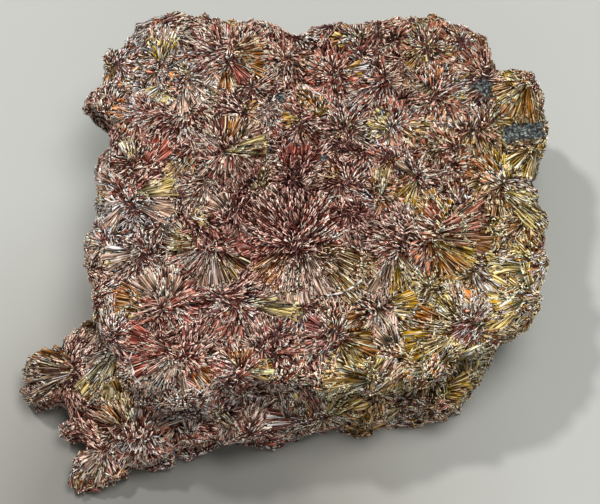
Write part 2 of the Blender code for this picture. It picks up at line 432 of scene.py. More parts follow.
def nearest_rosette(points):
    """The rosette that each point belongs to."""
    owner = np.zeros(len(points), dtype=int)
    nearest = np.full(len(points), np.inf)
    for number, (centre, radius) in enumerate(zip(rosette_centre, rosette_radius)):
        share = np.linalg.norm(points - centre, axis=1) / radius
        closer = share < nearest
        nearest = np.where(closer, share, nearest)
        owner[closer] = number
    return owner


rosette_centre, rosette_radius = place_rosettes()
print("rosettes in the rock:", len(rosette_radius))

# %% [markdown]
# ## The colours of the crystals
# Pyrophyllite itself is silvery to cream. Iron has stained the rosettes of this stone from mauve
# and rust red to gold, and the stain changes from rosette to rosette, from fan to fan,
# and across the whole face: red to the left, gold to the right. So each blade gets its family of
# colour from three lists: broad regions, single fans, and small spots.

# %% The families of colour
COLOURS = {
    "white": srgb(250, 219, 206),
    "silver": srgb(198, 176, 158),
    "cream": srgb(224, 208, 152),
    "gold": srgb(192, 161, 68),
    "amber": srgb(158, 106, 56),
    "olive": srgb(151, 127, 80),
    "rose": srgb(194, 134, 128),
    "russet": srgb(150, 82, 76),
    "mauve": srgb(150, 98, 99),
    "umber": srgb(92, 58, 56),
    "slate": srgb(68, 72, 71),
}
FAMILIES = list(COLOURS)
family_colour = np.array([COLOURS[family][:3] for family in FAMILIES])
BASE_SHARES = {
    "white": 0.6, "silver": 1.7, "cream": 0.55, "gold": 0.2, "amber": 0.3, "olive": 0.15,
    "rose": 1.8, "russet": 1.3, "mauve": 2.2, "umber": 1.2,
}
print("families of colour:", ", ".join(FAMILIES))

# %% Regions of the stone
# In the picture plane, in millimetres: across, up, radius, and what they add
REGIONS = [
    (51, 3, 14, {"gold": 6.0, "cream": 6.5, "olive": 4.0}),
    (53, 22, 10, {"gold": 2.0, "olive": 5.0, "amber": 1.0, "cream": 6.0}),
    (42, -22, 17, {"gold": 3.5, "amber": 4.0, "cream": 2.5, "russet": 1.5, "mauve": 3.0}),
    (33, -4, 10, {"gold": 2.0, "amber": 1.0, "mauve": 2.0}),
    (20, -32, 14, {"gold": 4.0, "olive": 2.5, "cream": 1.5, "amber": 2.0, "russet": 2.0}),
    (-12, -37, 15, {"umber": 2.5, "olive": 0.4, "silver": 0.4, "russet": 4.0}),
    (-40, -42, 16, {"russet": 3.2, "amber": 0.8, "silver": 1.0, "umber": 2.0}),
    (-56, -28, 10, {"rose": 1.5, "olive": 1.5, "silver": 2.0, "umber": 1.0}),
    (-43, 0, 13, {"silver": 3.0, "mauve": 2.0, "cream": 0.5}),
    (-38, 42, 14, {"rose": 1.5, "amber": 0.8, "cream": 1.0, "silver": 1.0, "olive": 0.6}),
    (-5, 41, 9, {"silver": 2.0, "rose": 1.5, "cream": 1.0}),
    (-36, 24, 10, {"russet": 4.0, "rose": 1.5}),
    (-4, 14, 17, {"russet": 3.5, "umber": 4.0, "mauve": 2.5}),
    (-26, -24, 14, {"russet": 3.0, "rose": 1.5, "amber": 0.5}),
    (-12, -14, 14, {"mauve": 3.0, "rose": 2.0, "russet": 1.5}),
    (12, 48, 14, {"russet": 3.5, "umber": 1.0}),
    (8, 34, 16, {"mauve": 2.5, "rose": 2.0, "silver": 1.0, "russet": 1.0}),
    (34, 42, 13, {"rose": 1.5, "russet": 1.5, "cream": 2.5, "silver": 1.5}),
    (32, 24, 14, {"rose": 2.0, "cream": 1.0, "mauve": 1.0}),
    (20, 4, 15, {"umber": 2.0, "mauve": 1.5, "silver": 1.0}),
]

# How much brighter or darker the stone is by region, partly its own tone and partly painted
# light and shade where the front band and the right edge turn from the lamps: across, up, radius,
# factor
SHADES_AND_PAINTED_LIGHT = [
    (-8, -38, 14, 1.42), (14, -33, 12, 1.15), (38, -22, 16, 1.2),
    (-2, 9, 14, 0.6), (-42, 8, 11, 1.6), (-37, 43, 12, 1.5), (-34, -43, 16, 1.28),
    (-5, 41, 9, 1.12), (11, 24, 9, 1.12), (35, 40, 10, 1.15), (53, -9, 8, 1.55), (50, 16, 9, 1.15),
]


def nearness(across, up, x, y, radius):
    """How much a region counts at places in the picture plane: 1 in its middle, then less."""
    return np.exp(-(((across - x) ** 2 + (up - y) ** 2) / radius**2))


def region_tone_and_painted_light(across, up):
    """The brightness factor of the regions, own tone and painted light, at places in the picture
    plane.
    """
    factor = np.ones(len(across))
    for x, y, radius, change in SHADES_AND_PAINTED_LIGHT:
        factor *= change ** nearness(across, up, x, y, radius)
    return factor


def family_shares(across, up):
    """How common each family is at places in the picture plane: one row for each place."""
    shares = np.zeros((len(across), len(FAMILIES)))
    for family, share in BASE_SHARES.items():
        shares[:, FAMILIES.index(family)] = share
    for x, y, radius, added in REGIONS:
        strength = nearness(across, up, x, y, radius)
        for family, share in added.items():
            shares[:, FAMILIES.index(family)] += share * strength
    return shares / shares.sum(axis=1, keepdims=True)


def pick_family(shares, draw):
    """The family that each draw from 0 to 1 falls on."""
    return np.minimum((shares.cumsum(axis=1) < draw[:, None]).sum(axis=1), len(FAMILIES) - 1)


print(len(REGIONS), "regions of colour and", len(SHADES_AND_PAINTED_LIGHT), "of light and dark")

# %% [markdown]
# ## The fans that can be told apart
# The photograph shows about a hundred and forty fans clearly enough to name: the orange wedge at
# the top left, the silver fan under the largest rosette, the gold ones at the right edge. Each has
# a centre in the picture plane, the angles it opens between, where its blades begin and end, its
# family, and the share of blades that wear it. Its blades point away from its own centre.
# Angles are in degrees, anticlockwise from the right, and lengths in millimetres.

# %% The list of fans
FANS_BY_CENTRE = [
    ((-17.5, 45), [(-18, 32, 2, 9.5, "amber", 0.75), (-38, -18, 3, 10.5, "amber", 0.4),
      (-62, -38, 2, 8, "russet", 0.6)]),
    ((-17, 43), [(-105, -62, 1, 6.5, "amber", 0.55)]),
    ((-17.5, 45), [(60, 120, 2.5, 7, "rose", 0.4), (140, 235, 1, 6.5, "mauve", 0.7)]),
    ((-32, 42.5), [(50, 120, 0.5, 6.5, "gold", 0.4), (60, 105, 2.5, 8.5, "silver", 0.5)]),
    ((-30.5, 38.5), [(195, 300, 0.5, 5, "cream", 0.6)]),
    ((-27, 40), [(-62, -5, 2, 8, "silver", 0.65), (-42, -20, 6.5, 10, "olive", 0.6)]),
    ((-27, 37.5), [(245, 295, 1, 6, "silver", 0.6)]),
    ((-26.5, 30), [(-72, -30, 2, 10, "white", 0.5), (55, 90, 2, 8, "silver", 0.6),
      (95, 300, 0.5, 5.5, "mauve", 0.6)]),
    ((-17.5, 23), [(52, 90, 1, 8, "amber", 0.5), (90, 128, 1, 8, "umber", 0.55)]),
    ((-19.5, 22.5), [(-6, 20, 2.5, 12, "cream", 0.65)]),
    ((-37, 17.5), [(32, 68, 1.5, 10.5, "russet", 0.65), (92, 122, 1.5, 9, "cream", 0.4),
      (0, 360, 0, 5, "russet", 0.5)]),
    ((-40.5, 12.5), [(6, 20, 2.5, 11, "gold", 0.35), (2, 24, 2.5, 12.5, "cream", 0.5),
      (-32, 0, 2.5, 12, "silver", 0.75)]),
    ((-39, 12), [(188, 250, 1, 8, "silver", 0.6)]),
    ((-27.5, 12.5), [(0, 360, 0, 3.5, "silver", 0.75)]),
    ((-27.5, 9.5), [(-35, 10, 1, 6.5, "cream", 0.5)]),
    ((-15, 8), [(105, 165, 1.5, 7, "silver", 0.5), (50, 105, 1, 5.5, "rose", 0.5),
      (-75, -35, 1.5, 5.5, "white", 0.4)]),
    ((-20, 2), [(240, 292, 2, 10, "silver", 0.8), (200, 240, 2, 9.5, "rose", 0.55),
      (162, 200, 2.5, 8.5, "olive", 0.75), (292, 335, 2, 10, "olive", 0.3)]),
    ((-35.5, 0), [(168, 215, 1, 9.5, "silver", 0.4), (185, 205, 2, 9.5, "cream", 0.45)]),
    ((-30.5, -12.5), [(95, 150, 2, 9.5, "silver", 0.65), (150, 190, 4.5, 11.5, "amber", 0.5),
      (55, 95, 1.5, 8, "silver", 0.5)]),
    ((-27.5, -22.5), [(150, 216, 2, 12, "russet", 0.75), (216, 250, 2, 12, "silver", 0.5),
      (250, 285, 1.5, 9.5, "silver", 0.4), (-60, -30, 5, 10, "amber", 0.8),
      (-75, -10, 1.5, 7, "russet", 0.6)]),
    ((-41, -21), [(222, 268, 2, 14, "cream", 0.6), (200, 235, 2, 9, "silver", 0.5)]),
    ((-13.5, -27.5), [(60, 130, 1, 5.5, "amber", 0.5), (150, 205, 1, 7.5, "rose", 0.5),
      (-12, 32, 1, 7.5, "gold", 0.4)]),
    ((-15.5, -11.5), [(-14, 10, 4.5, 15, "cream", 0.6), (140, 220, 1.5, 8, "mauve", 0.5)]),
    ((-0.5, 3.5), [(250, 306, 4, 15, "silver", 0.8), (306, 346, 5, 19, "olive", 0.75),
      (214, 250, 4, 13.5, "amber", 0.45), (0, 200, 0, 11.5, "russet", 0.25)]),
    ((-2.5, 17.5), [(62, 118, 1, 7, "russet", 0.6)]),
    ((18.5, 12), [(72, 104, 0.5, 7, "cream", 0.85)]),
    ((27, 17), [(110, 150, 1, 6, "silver", 0.75), (212, 266, 1, 6.5, "gold", 0.8)]),
    ((28.5, 3.5), [(-34, -16, 2, 12.5, "gold", 0.8), (-60, -34, 2, 12, "amber", 0.75),
      (10, 42, 2, 15, "rose", 0.4), (-16, 10, 2.5, 15, "umber", 0.4)]),
    ((21.5, 1), [(234, 262, 2.5, 12.5, "silver", 0.75), (262, 282, 3, 10.5, "gold", 0.55),
      (282, 316, 2.5, 10.5, "cream", 0.6), (20, 200, 0, 8, "umber", 0.4)]),
    ((44.5, 15), [(-52, -10, 2, 13, "cream", 0.85)]),
    ((54.5, -3.5), [(163, 190, 2, 12, "cream", 0.5), (190, 228, 2.5, 10.5, "amber", 0.75),
      (118, 152, 2, 7.5, "gold", 0.7)]),
    ((53, -10.5), [(150, 181, 2, 10.5, "cream", 0.8), (181, 201, 2, 9.5, "gold", 0.9),
      (201, 228, 2, 12, "cream", 0.6), (95, 150, 1.5, 7.5, "gold", 0.7)]),
    ((38, -18), [(96, 116, 2, 11, "silver", 0.85), (116, 150, 2.5, 10.5, "cream", 0.55),
      (150, 178, 2.5, 12, "amber", 0.65), (178, 216, 2.5, 14, "gold", 0.6),
      (40, 82, 2, 9, "silver", 0.55), (6, 38, 2.5, 12, "cream", 0.65),
      (-18, 6, 2.5, 11, "amber", 0.8), (-92, -36, 2.5, 8, "gold", 0.6),
      (0, 360, 0, 3, "mauve", 0.9)]),
    ((39, -3.5), [(-82, -20, 1, 8, "silver", 0.6)]),
    ((17.5, -12.5), [(242, 292, 1, 6, "white", 0.8), (2, 26, 2.5, 9, "gold", 0.85),
      (-28, 2, 2.5, 7.5, "cream", 0.5), (190, 240, 2.5, 8, "amber", 0.5)]),
    ((8, -19), [(-30, -6, 2.5, 10.5, "amber", 0.65), (-6, 18, 2.5, 8, "olive", 0.75),
      (-66, -30, 2.5, 9, "gold", 0.5), (120, 240, 1, 7, "mauve", 0.6)]),
    ((22.5, -23.5), [(118, 162, 1.5, 8.5, "silver", 0.55), (92, 108, 1, 9.5, "white", 0.6),
      (-72, -42, 1, 5.5, "white", 0.55), (200, 280, 1, 5.5, "umber", 0.6)]),
    ((30.5, -26.5), [(-42, 2, 2, 9, "rose", 0.5), (-10, 30, 5.5, 12, "cream", 0.8),
      (30, 62, 1.5, 8, "cream", 0.45), (145, 205, 1.5, 7, "amber", 0.5)]),
    ((29.5, -32), [(-18, 32, 2, 10.5, "gold", 0.85)]),
    ((24.5, -34.5), [(0, 360, 0, 4.5, "mauve", 0.85)]),
    ((5, -38.5), [(96, 142, 1, 8.5, "russet", 0.75), (76, 96, 1.5, 6.5, "silver", 0.5),
      (18, 76, 1, 11, "gold", 0.8), (165, 192, 2.5, 12.5, "umber", 0.4)]),
    ((17.5, -29), [(148, 205, 1, 12, "olive", 0.65)]),
    ((0, -36.5), [(70, 120, 1, 5.5, "silver", 0.6)]),
    ((-37.5, -42), [(114, 152, 2.5, 11, "amber", 0.65), (94, 113, 3, 14, "olive", 0.65),
      (72, 94, 2.5, 9.5, "silver", 0.55), (18, 52, 3.5, 14.5, "silver", 0.5),
      (0, 360, 0, 3, "umber", 0.6)]),
    ((-25, -43), [(58, 112, 1, 7.5, "white", 0.6)]),
    ((-50, -27), [(158, 216, 1.5, 13.5, "silver", 0.55), (158, 216, 1.5, 13.5, "olive", 0.3),
      (128, 158, 3, 12.5, "amber", 0.7)]),
    ((-43.5, -44.5), [(198, 262, 2, 10, "silver", 0.45), (215, 250, 3.5, 10, "amber", 0.4)]),
    ((8.5, 41), [(-12, 26, 1, 6, "gold", 0.35), (-10, 20, 1.5, 7.5, "white", 0.5)]),
    ((1, 30), [(155, 205, 0.5, 5, "gold", 0.7)]),
    ((21.5, 27.5), [(110, 200, 1, 6.5, "cream", 0.6)]),
    ((33, 35.5), [(-22, 22, 1.5, 5, "cream", 0.6)]),
    ((52, 39), [(190, 285, 1, 9.5, "amber", 0.5), (205, 240, 1, 9, "cream", 0.45),
      (240, 290, 1, 9.5, "olive", 0.5), (150, 195, 1, 6, "gold", 0.6)]),
    ((54, 24.5), [(200, 275, 0.5, 8, "olive", 0.5)]),
    ((-31, -42), [(48, 68, 2.5, 9.5, "silver", 0.55)]),
    ((-13.5, -41.5), [(118, 150, 1.5, 8, "olive", 0.55)]),
    ((-10.5, -41), [(95, 125, 1, 6, "silver", 0.4)]),
    ((-2.5, -39.5), [(80, 112, 1, 9, "silver", 0.6)]),
    ((2.5, -38.5), [(100, 130, 1, 8.5, "cream", 0.45)]),
    ((15.5, -28.5), [(35, 75, 1, 5.5, "cream", 0.5)]),
    ((14.5, -33.5), [(32, 58, 2, 11.5, "silver", 0.35)]),
    ((24.5, -34.5), [(52, 72, 1.5, 8.5, "cream", 0.55), (195, 235, 1.5, 6.5, "cream", 0.5)]),
    ((38.5, -31), [(62, 130, 1, 7, "cream", 0.6)]),
    ((28.5, -38), [(-12, 50, 1, 6.5, "rose", 0.5)]),
]
FANS = [(*centre, *fan) for centre, fans in FANS_BY_CENTRE for fan in fans]
print(len(FANS), "fans round", len(FANS_BY_CENTRE), "centres")

# %% The list of spots
# Across, up, radius, family, share
SPOTS = [
    (-15.5, 51, 1.5, "gold", 0.7), (-11.5, 47, 2, "amber", 0.5), (-38.5, 39.5, 1.5, "gold", 0.7),
    (-32.5, 37, 1.5, "cream", 0.6), (-21.5, 9, 1.5, "amber", 0.6), (-42, 7.5, 3, "silver", 0.5),
    (-40.5, -5.5, 2.5, "umber", 0.7), (-39, -12.5, 2.5, "gold", 0.8), (-46, -15, 2, "amber", 0.8),
    (-24, -17.5, 2, "mauve", 0.95), (-12.5, -20.5, 2.5, "silver", 0.6),
    (-0.5, -13.5, 1.5, "gold", 0.9), (-1, -15.5, 1, "white", 0.9), (-8.5, -17, 1.5, "white", 0.5),
    (3.5, 7.5, 1.5, "umber", 1),
    (9, 9, 3, "russet", 0.85), (7.5, 17.5, 2, "gold", 0.55), (7.5, 19, 1.5, "amber", 0.5),
    (21, 20, 2, "amber", 0.6), (24.5, 18, 1.5, "olive", 0.7), (30.5, 8.5, 2, "russet", 0.8),
    (41.5, 7.5, 2, "umber", 0.7), (46.5, 21, 2, "gold", 0.85), (47.5, 18, 1.5, "gold", 0.8),
    (49, 14, 1.5, "gold", 0.5), (51.5, 1, 2, "gold", 0.7), (11, -15, 2.5, "silver", 0.6),
    (16, -18.5, 2, "amber", 0.7), (23, -31, 2, "gold", 0.7), (26, -30, 2, "silver", 0.5),
    (7, -30.5, 2.5, "olive", 0.7), (-9.5, -39.5, 7.5, "umber", 0.5), (-50.5, -52.5, 2, "gold", 0.6),
    (-41, -50, 1.5, "amber", 0.7), (14.5, 43, 3, "silver", 0.45), (10, 48, 1.5, "gold", 0.6),
    (0, 43, 1.5, "amber", 0.7), (2.5, 42.5, 1.5, "silver", 0.6), (0.5, 27, 1.5, "amber", 0.7),
    (-1.5, 27, 1, "white", 0.9), (10, 28, 3, "cream", 0.45), (7.5, 23.5, 1.5, "cream", 0.6),
    (28.5, 46, 2, "gold", 0.5), (33, 45.5, 1, "gold", 0.7), (33.5, 26, 2, "amber", 0.6),
    (44, 30, 1.5, "gold", 0.7), (49, 22, 2.5, "olive", 0.6), (54.5, 23, 1.5, "gold", 0.6),
    (47.5, 38.5, 1.5, "amber", 0.85), (-46, 35, 3.5, "umber", 0.55), (53.5, 3, 2.5, "amber", 0.5),
    (53.5, 8.5, 3, "cream", 0.6), (50, -17.5, 4, "amber", 0.6), (45.5, -17.5, 2.5, "umber", 0.6),
    (21.5, -27, 2.5, "umber", 0.8), (35.5, -21.5, 2, "umber", 0.7), (41.5, -21.5, 2, "gold", 0.6),
    (42, -25, 2, "cream", 0.6), (-15.5, 7.5, 2, "umber", 0.6), (-26, -2.5, 3, "rose", 0.4),
]
print(len(SPOTS), "spots")

# %% [markdown]
# ## The bare slate patches
# Two patches near the right edge, and a few specks between the rosettes, are another mineral:
# fine-grained, blue-grey and without blades. They are outlined in the picture plane. Blades are
# kept off them, so the stone's own surface shows there. Near the outline chance decides, which
# leaves the patches a ragged edge.

# %% Outlines of the slate patches
SLATE_OUTLINES = [
    [(38.5, 38), (40.5, 39), (42, 40), (44, 38), (45.5, 36.5), (45, 35), (42.5, 35), (41, 36),
     (39.5, 36.5)],
    [(46.5, 28.5), (47.5, 29.5), (50, 29), (53.5, 30), (56.5, 29), (57, 26), (53.5, 25.5),
     (50.5, 25.5), (48.5, 25.3), (46.5, 24), (45.7, 24.5), (46, 26)],
]
SLATE_SPECKS = [
    (-4.5, 35, 1.1), (-7, 23.5, 0.9), (-2, 24, 1.2), (5.5, 21.5, 0.9), (18.5, 32, 1.1),
    (26, 32.5, 0.8),
]
SLATE_FACING = 0.35


def inside_outline(across, up, outline):
    """Which places lie inside a closed outline, counting the sides to the right of each."""
    crossings = np.zeros(len(across), dtype=int)
    for (x0, y0), (x1, y1) in zip(outline, outline[1:] + outline[:1]):
        spans = (y0 > up) != (y1 > up)
        rise = y1 - y0 if y1 != y0 else 1.0
        crossings += spans & (across < x0 + (up - y0) * (x1 - x0) / rise)
    return crossings % 2 == 1


def on_slate(points, normals, ragged=0.0):
    """Which surface places belong to the slate patches, whose edge may be ragged."""
    across, up = in_picture(points + draw.normal(0, ragged, points.shape))
    found = np.zeros(len(points), dtype=bool)
    for outline in SLATE_OUTLINES:
        found |= inside_outline(across, up, outline)
    for x, y, radius in SLATE_SPECKS:
        found |= np.hypot(across - x, up - y) < radius
    return found & (normals @ to_camera > SLATE_FACING)


print(len(SLATE_OUTLINES), "slate patches and", len(SLATE_SPECKS), "specks")

# %% [markdown]
# ## Planting the blades
# So many blades can't be placed by hand, and instances would be lost in the export. So each
# blade is worked out as a row of numbers: where it stands on the surface, which rosette it
# belongs to, which way it points, how long and wide it is. The places come first, by chance, and
# closer together where the photograph looks. Later both ends of a blade are settled on the stone,
# so that it doesn't stick out past a corner of the rock.

# %% Places on the surface
BLADE_SEED = 11
SEEN_DENSITY = 2.7
UNDERSIDE = -0.85

draw = np.random.default_rng(BLADE_SEED)
seen_face = face_normal @ to_camera > 0
face_weight = area * np.where(seen_face, SEEN_DENSITY, 1.0) * (face_normal[:, 2] > UNDERSIDE)


def scatter(count):
    """Random places on the stone, denser where the photograph looks, none underneath."""
    face = draw.choice(len(triangle), size=count, p=face_weight / face_weight.sum())
    first = draw.random(count)
    second = draw.random(count)
    folded = first + second > 1
    first = np.where(folded, 1 - first, first)
    second = np.where(folded, 1 - second, second)
    parts = np.stack([1 - first - second, first, second], axis=1)[:, :, None]
    places = (corner[triangle[face]] * parts).sum(axis=1)
    normals = unit((corner_normal[triangle[face]] * parts).sum(axis=1))
    return places, normals


def spread(low, high, count):
    """Even random numbers between two limits."""
    return low + (high - low) * draw.random(count)


print("seen in the photograph:", round(area[seen_face].sum() / area.sum(), 2), "of the surface")

# %% Settling on the stone
LARGEST_GAP = 0.7


def nearest_on_stone(points):
    """The place on the stone nearest to each point, its triangle, and the gap in between."""
    places, _, faces, gaps = zip(*(surface.find_nearest(Vector(point)) for point in points))
    return np.array(places), np.array(faces), np.array(gaps)


def settle(points, normals, heights):
    """The points moved to given heights over the stone, measured along the smoothed normals."""
    places, _, _ = nearest_on_stone(points)
    return places + normals * heights[:, None]


def lies_close(root, tip):
    """Which blades have their middle near the stone, not in the air over a step."""
    _, _, gaps = nearest_on_stone((root + tip) / 2)
    return gaps < LARGEST_GAP


def smooth_normal(points):
    """The smoothed normal of the stone at points on its surface."""
    _, faces, _ = nearest_on_stone(points)
    return unit(corner_normal[triangle[faces]].mean(axis=1))


def on_stone(across, up):
    """Where the line of sight through each place of the picture plane meets the stone."""
    found = []
    for x, y in zip(across, up):
        sight = x * picture_right + y * picture_up - to_camera * DISTANCE
        place, _, _, _ = surface.ray_cast(Vector(eye), Vector(sight).normalized())
        if place is None:
            place, _, _, _ = surface.find_nearest(Vector(eye + sight))
        found.append(tuple(place))
    return np.array(found)


fan_centre = on_stone([fan[0] for fan in FANS], [fan[1] for fan in FANS])
print("fan centres found:", len(fan_centre))

# %% [markdown]
# ## One colour family for each part of a rosette
# Left to pure chance the colours would mix like confetti. In the stone a rosette is one or two
# colours, often purple-brown in its middle and paler or more golden outside, and neighbouring
# blades match. So each rosette is cut into a few sectors, and each sector picks one family, its
# own shade, which is painted light that makes some fans look bright and others shaded, how many of
# its blades stray and how far its middle lies from the rosette's. Half of the sectors are calm:
# wide plates lie there side by side.

# %% Families by rosette and sector
SECTORS = 4
SECTOR_LEAN = 0.3
MIDDLE_FAMILIES = {"mauve": 3.0, "rose": 1.8, "umber": 1.8, "russet": 1.2, "white": 1.0}
OTHER_FAMILY = 0.35
MIDDLE = 0.42
MIDDLE_BLUR = 0.12
SECTOR_SHARE = 0.92
SECTOR_CONTRAST = 0.24
STRAY_SHARE = (0.04, 0.4)
MIDDLE_SHIFT = 0.3
CALM_SHARE = 0.5

sector_turn = draw.random(len(rosette_radius)) * math.tau
sector_draw = draw.random((len(rosette_radius), SECTORS))
# Painted light: a brightness for each sector, so that some fans look bright and others shaded
sector_painted_light = np.exp(draw.normal(0, SECTOR_CONTRAST, (len(rosette_radius), SECTORS)))
sector_stray = draw.uniform(*STRAY_SHARE, (len(rosette_radius), SECTORS))
sector_middle = draw.normal(0, MIDDLE_SHIFT, (len(rosette_radius), SECTORS, 3))
sector_calm = draw.random((len(rosette_radius), SECTORS)) < CALM_SHARE


def sector_of(away, owner):
    """Which sector of its rosette each blade is in."""
    angle = np.arctan2(away[:, 1] + away[:, 2], away[:, 0] + SECTOR_LEAN * away[:, 2])
    return ((angle + sector_turn[owner]) / math.tau * SECTORS).astype(int) % SECTORS


def rosette_family(place, centre, owner, radius):
    """The colour family of each blade before the named fans and spots."""
    count = len(place)
    across, up = in_picture(place)
    centre_across, centre_up = in_picture(centre)
    away = place - centre
    sector = sector_of(away, owner)
    by_sector = pick_family(family_shares(centre_across, centre_up), sector_draw[owner, sector])
    shares = family_shares(across, up)
    middle_edge = MIDDLE + MIDDLE_BLUR * draw.random(count)
    near_middle = np.linalg.norm(away, axis=1) / radius < middle_edge
    for number, family in enumerate(FAMILIES):
        shares[near_middle, number] *= MIDDLE_FAMILIES.get(family, OTHER_FAMILY)
    shares /= shares.sum(axis=1, keepdims=True)
    by_place = pick_family(shares, draw.random(count))
    from_sector = ~near_middle & (draw.random(count) < SECTOR_SHARE)
    return np.where(from_sector, by_sector, by_place)


print(sector_calm.sum(), "of the", sector_calm.size, "sectors are calm")

# %% [markdown]
# ## The named fans overrule chance
# A blade that happens to stand in a named fan may take the fan's colour: the fan's share says how
# often. It then also points away from the fan's centre instead of the rosette's. A fan that opens
# wider than a third of a turn lends its colour only, and so does a spot.

# %% Blades that follow the named fans and spots
WHOLE_TURN = 360
WIDEST_FAN = 120
FAN_STRAY = 0.1

narrow_fans = [fan for fan in FANS if fan[3] - fan[2] <= WIDEST_FAN]


def follow_fans(place, seen, blades):
    """Change the blades that the named fans and spots take, and say which lie in a fan."""
    count = len(place)
    across, up = in_picture(place)
    in_fan = np.zeros(count, dtype=bool)
    for fan, fan_place in zip(FANS, fan_centre):
        x, y, start, end, inner, outer, name, share = fan
        away = np.hypot(across - x, up - y)
        angle = np.degrees(np.arctan2(up - y, across - x))
        opened = (angle - start) % WHOLE_TURN <= end - start
        within = seen & opened & (away > inner) & (away < outer)
        chosen = within & (draw.random(count) < share)
        in_fan |= within
        blades["family"][chosen] = FAMILIES.index(name)
        blades["named"] |= chosen
        if end - start <= WIDEST_FAN:
            blades["centre"][chosen] = fan_place
            blades["shade"][within] = 1.0
            blades["stray"][within] = FAN_STRAY
    for x, y, radius, name, share in SPOTS:
        near = seen & (np.hypot(across - x, up - y) < radius)
        chosen = near & (draw.random(count) < share)
        blades["family"][chosen] = FAMILIES.index(name)
        blades["named"] |= chosen
    return in_fan


print(len(narrow_fans), "of the fans also turn their blades")

# %% [markdown]
# ## Which way a blade points, and how long it is
# Near a rosette's middle the blades stand on end, and further out they lie flat, as the break
# cuts them lengthwise. Most point within a few degrees of straight outwards, and some stray. Each
# also gets a tone from 0 to 1, and its height and width go with it: dark blades lie deep and are
# wide, bright ones stand higher and are narrow, like edges that catch the light.

# %% Directions
STANDING = math.radians(50)
LYING = math.radians(6)
SMALL_TURN = 4
STRAY_TURN = 34
MIDDLE_TURN = 60
TILT_JITTER = 5


def aim(outward, normal, lying, stray):
    """The direction of each blade: away from its centre, turned a little and lifted."""
    turn = np.where(draw.random(len(lying)) < stray, STRAY_TURN, SMALL_TURN)
    turn = np.radians(draw.normal(0, turn + MIDDLE_TURN * (1 - lying)))[:, None]
    outward = outward * np.cos(turn) + np.cross(normal, outward) * np.sin(turn)
    tilt = STANDING + (LYING - STANDING) * lying
    tilt += np.radians(draw.normal(0, TILT_JITTER, len(lying)))
    tilt = np.clip(tilt, 0, math.pi / 2)[:, None]
    return outward * np.cos(tilt) + normal * np.sin(tilt)


print("lift of the blades in degrees:", round(math.degrees(STANDING)), "in the middle of a",
      "rosette,", round(math.degrees(LYING)), "further out")

# %% How long, high and wide a blade is
LONGEST_REACH = 1.6
MIDDLE_LENGTH = (0.5, 1.5)
TIP_HEIGHT = (-0.05, 0.24)
TIP_JITTER = 0.12
STANDING_HEIGHT = 0.3
WIDTH_RADIUS = 7.0
MIDDLE_WIDTH = 0.5
DARK_WIDTH = 1.5
BRIGHT_WIDTH = 0.85
FLAT_SHARE = 0.65
FLAT_ROLL = 20
ANY_ROLL = (-90, 90)


def length_of(size, reach, lying, length_share):
    """The length of each blade: a share of its rosette's size, or short where it stands on end."""
    length = np.minimum(size * spread(*length_share, len(size)) * lying, LONGEST_REACH * reach)
    return length + spread(*MIDDLE_LENGTH, len(size)) * (1 - lying)


def height_of(tone, lying):
    """How far each tip stands over the stone: the brighter, the higher."""
    height = TIP_HEIGHT[0] + (TIP_HEIGHT[1] - TIP_HEIGHT[0]) * tone
    jitter = TIP_JITTER * draw.random(len(tone))
    return height + (jitter + STANDING_HEIGHT * (1 - lying) * draw.random(len(tone)))


def width_of(size, tone, lying, widths):
    """The width of each blade: the brighter, the narrower."""
    width = spread(*widths, len(size)) * np.sqrt(size / WIDTH_RADIUS)
    width *= MIDDLE_WIDTH + (1 - MIDDLE_WIDTH) * lying
    return width * (DARK_WIDTH + (BRIGHT_WIDTH - DARK_WIDTH) * tone)


def roll_of(count):
    """How far each blade is rolled about its length, in degrees: most lie nearly flat."""
    flat = draw.random(count) < FLAT_SHARE
    return np.where(flat, draw.normal(0, FLAT_ROLL, count), spread(*ANY_ROLL, count))


print("a dark blade is", round(DARK_WIDTH / BRIGHT_WIDTH, 1), "times as wide as a bright one")

# %% Everything about a lot of blades
SEEN_FACING = 0.1
NUDGE = 1e-6
LARGEST_SIZE = 7.0
ROOT_DEPTH = (0.1, 0.4)
RAGGED = 0.35
CALM_FROM = 0.6


def plant(count, length_share, widths, tones, calm_only=False):
    """Random blades all over the stone: one row of each array for each blade."""
    place, normal = scatter(count)
    owner = nearest_rosette(place)
    radius = rosette_radius[owner]
    size = np.minimum(radius, LARGEST_SIZE)
    centre = rosette_centre[owner]
    sector = sector_of(place - centre, owner)
    blades = {
        "normal": normal,
        "family": rosette_family(place, centre, owner, radius),
        "named": np.zeros(count, dtype=bool),
        "shade": sector_painted_light[owner, sector],
        "stray": sector_stray[owner, sector],
        "centre": centre + sector_middle[owner, sector] * radius[:, None],
    }
    in_fan = follow_fans(place, normal @ to_camera > SEEN_FACING, blades)
    outward = place - blades.pop("centre")
    outward -= normal * (outward * normal).sum(axis=1, keepdims=True)
    reach = np.linalg.norm(outward, axis=1)
    lying = np.clip(reach / radius / MIDDLE, 0, 1)
    along = aim(unit(outward + normal * NUDGE), normal, lying, blades.pop("stray"))
    half = along * length_of(size, reach, lying, length_share)[:, None] / 2
    depth = spread(*ROOT_DEPTH, count)
    tone = spread(*tones, count)
    root = settle(place - half, normal, -depth)
    tip = settle(place + half, normal, height_of(tone, lying))
    width = width_of(size, tone, lying, widths)
    roll = np.radians(roll_of(count))
    kept = ~on_slate(place, normal, RAGGED) & ~on_slate(tip, normal, RAGGED)
    if calm_only:
        kept &= sector_calm[owner, sector] & ~in_fan
        kept &= (lying > CALM_FROM) & lies_close(root, tip)
    blades.update(root=root, tip=tip, width=width, roll=roll, tone=tone)
    return {name: values[kept] for name, values in blades.items()}


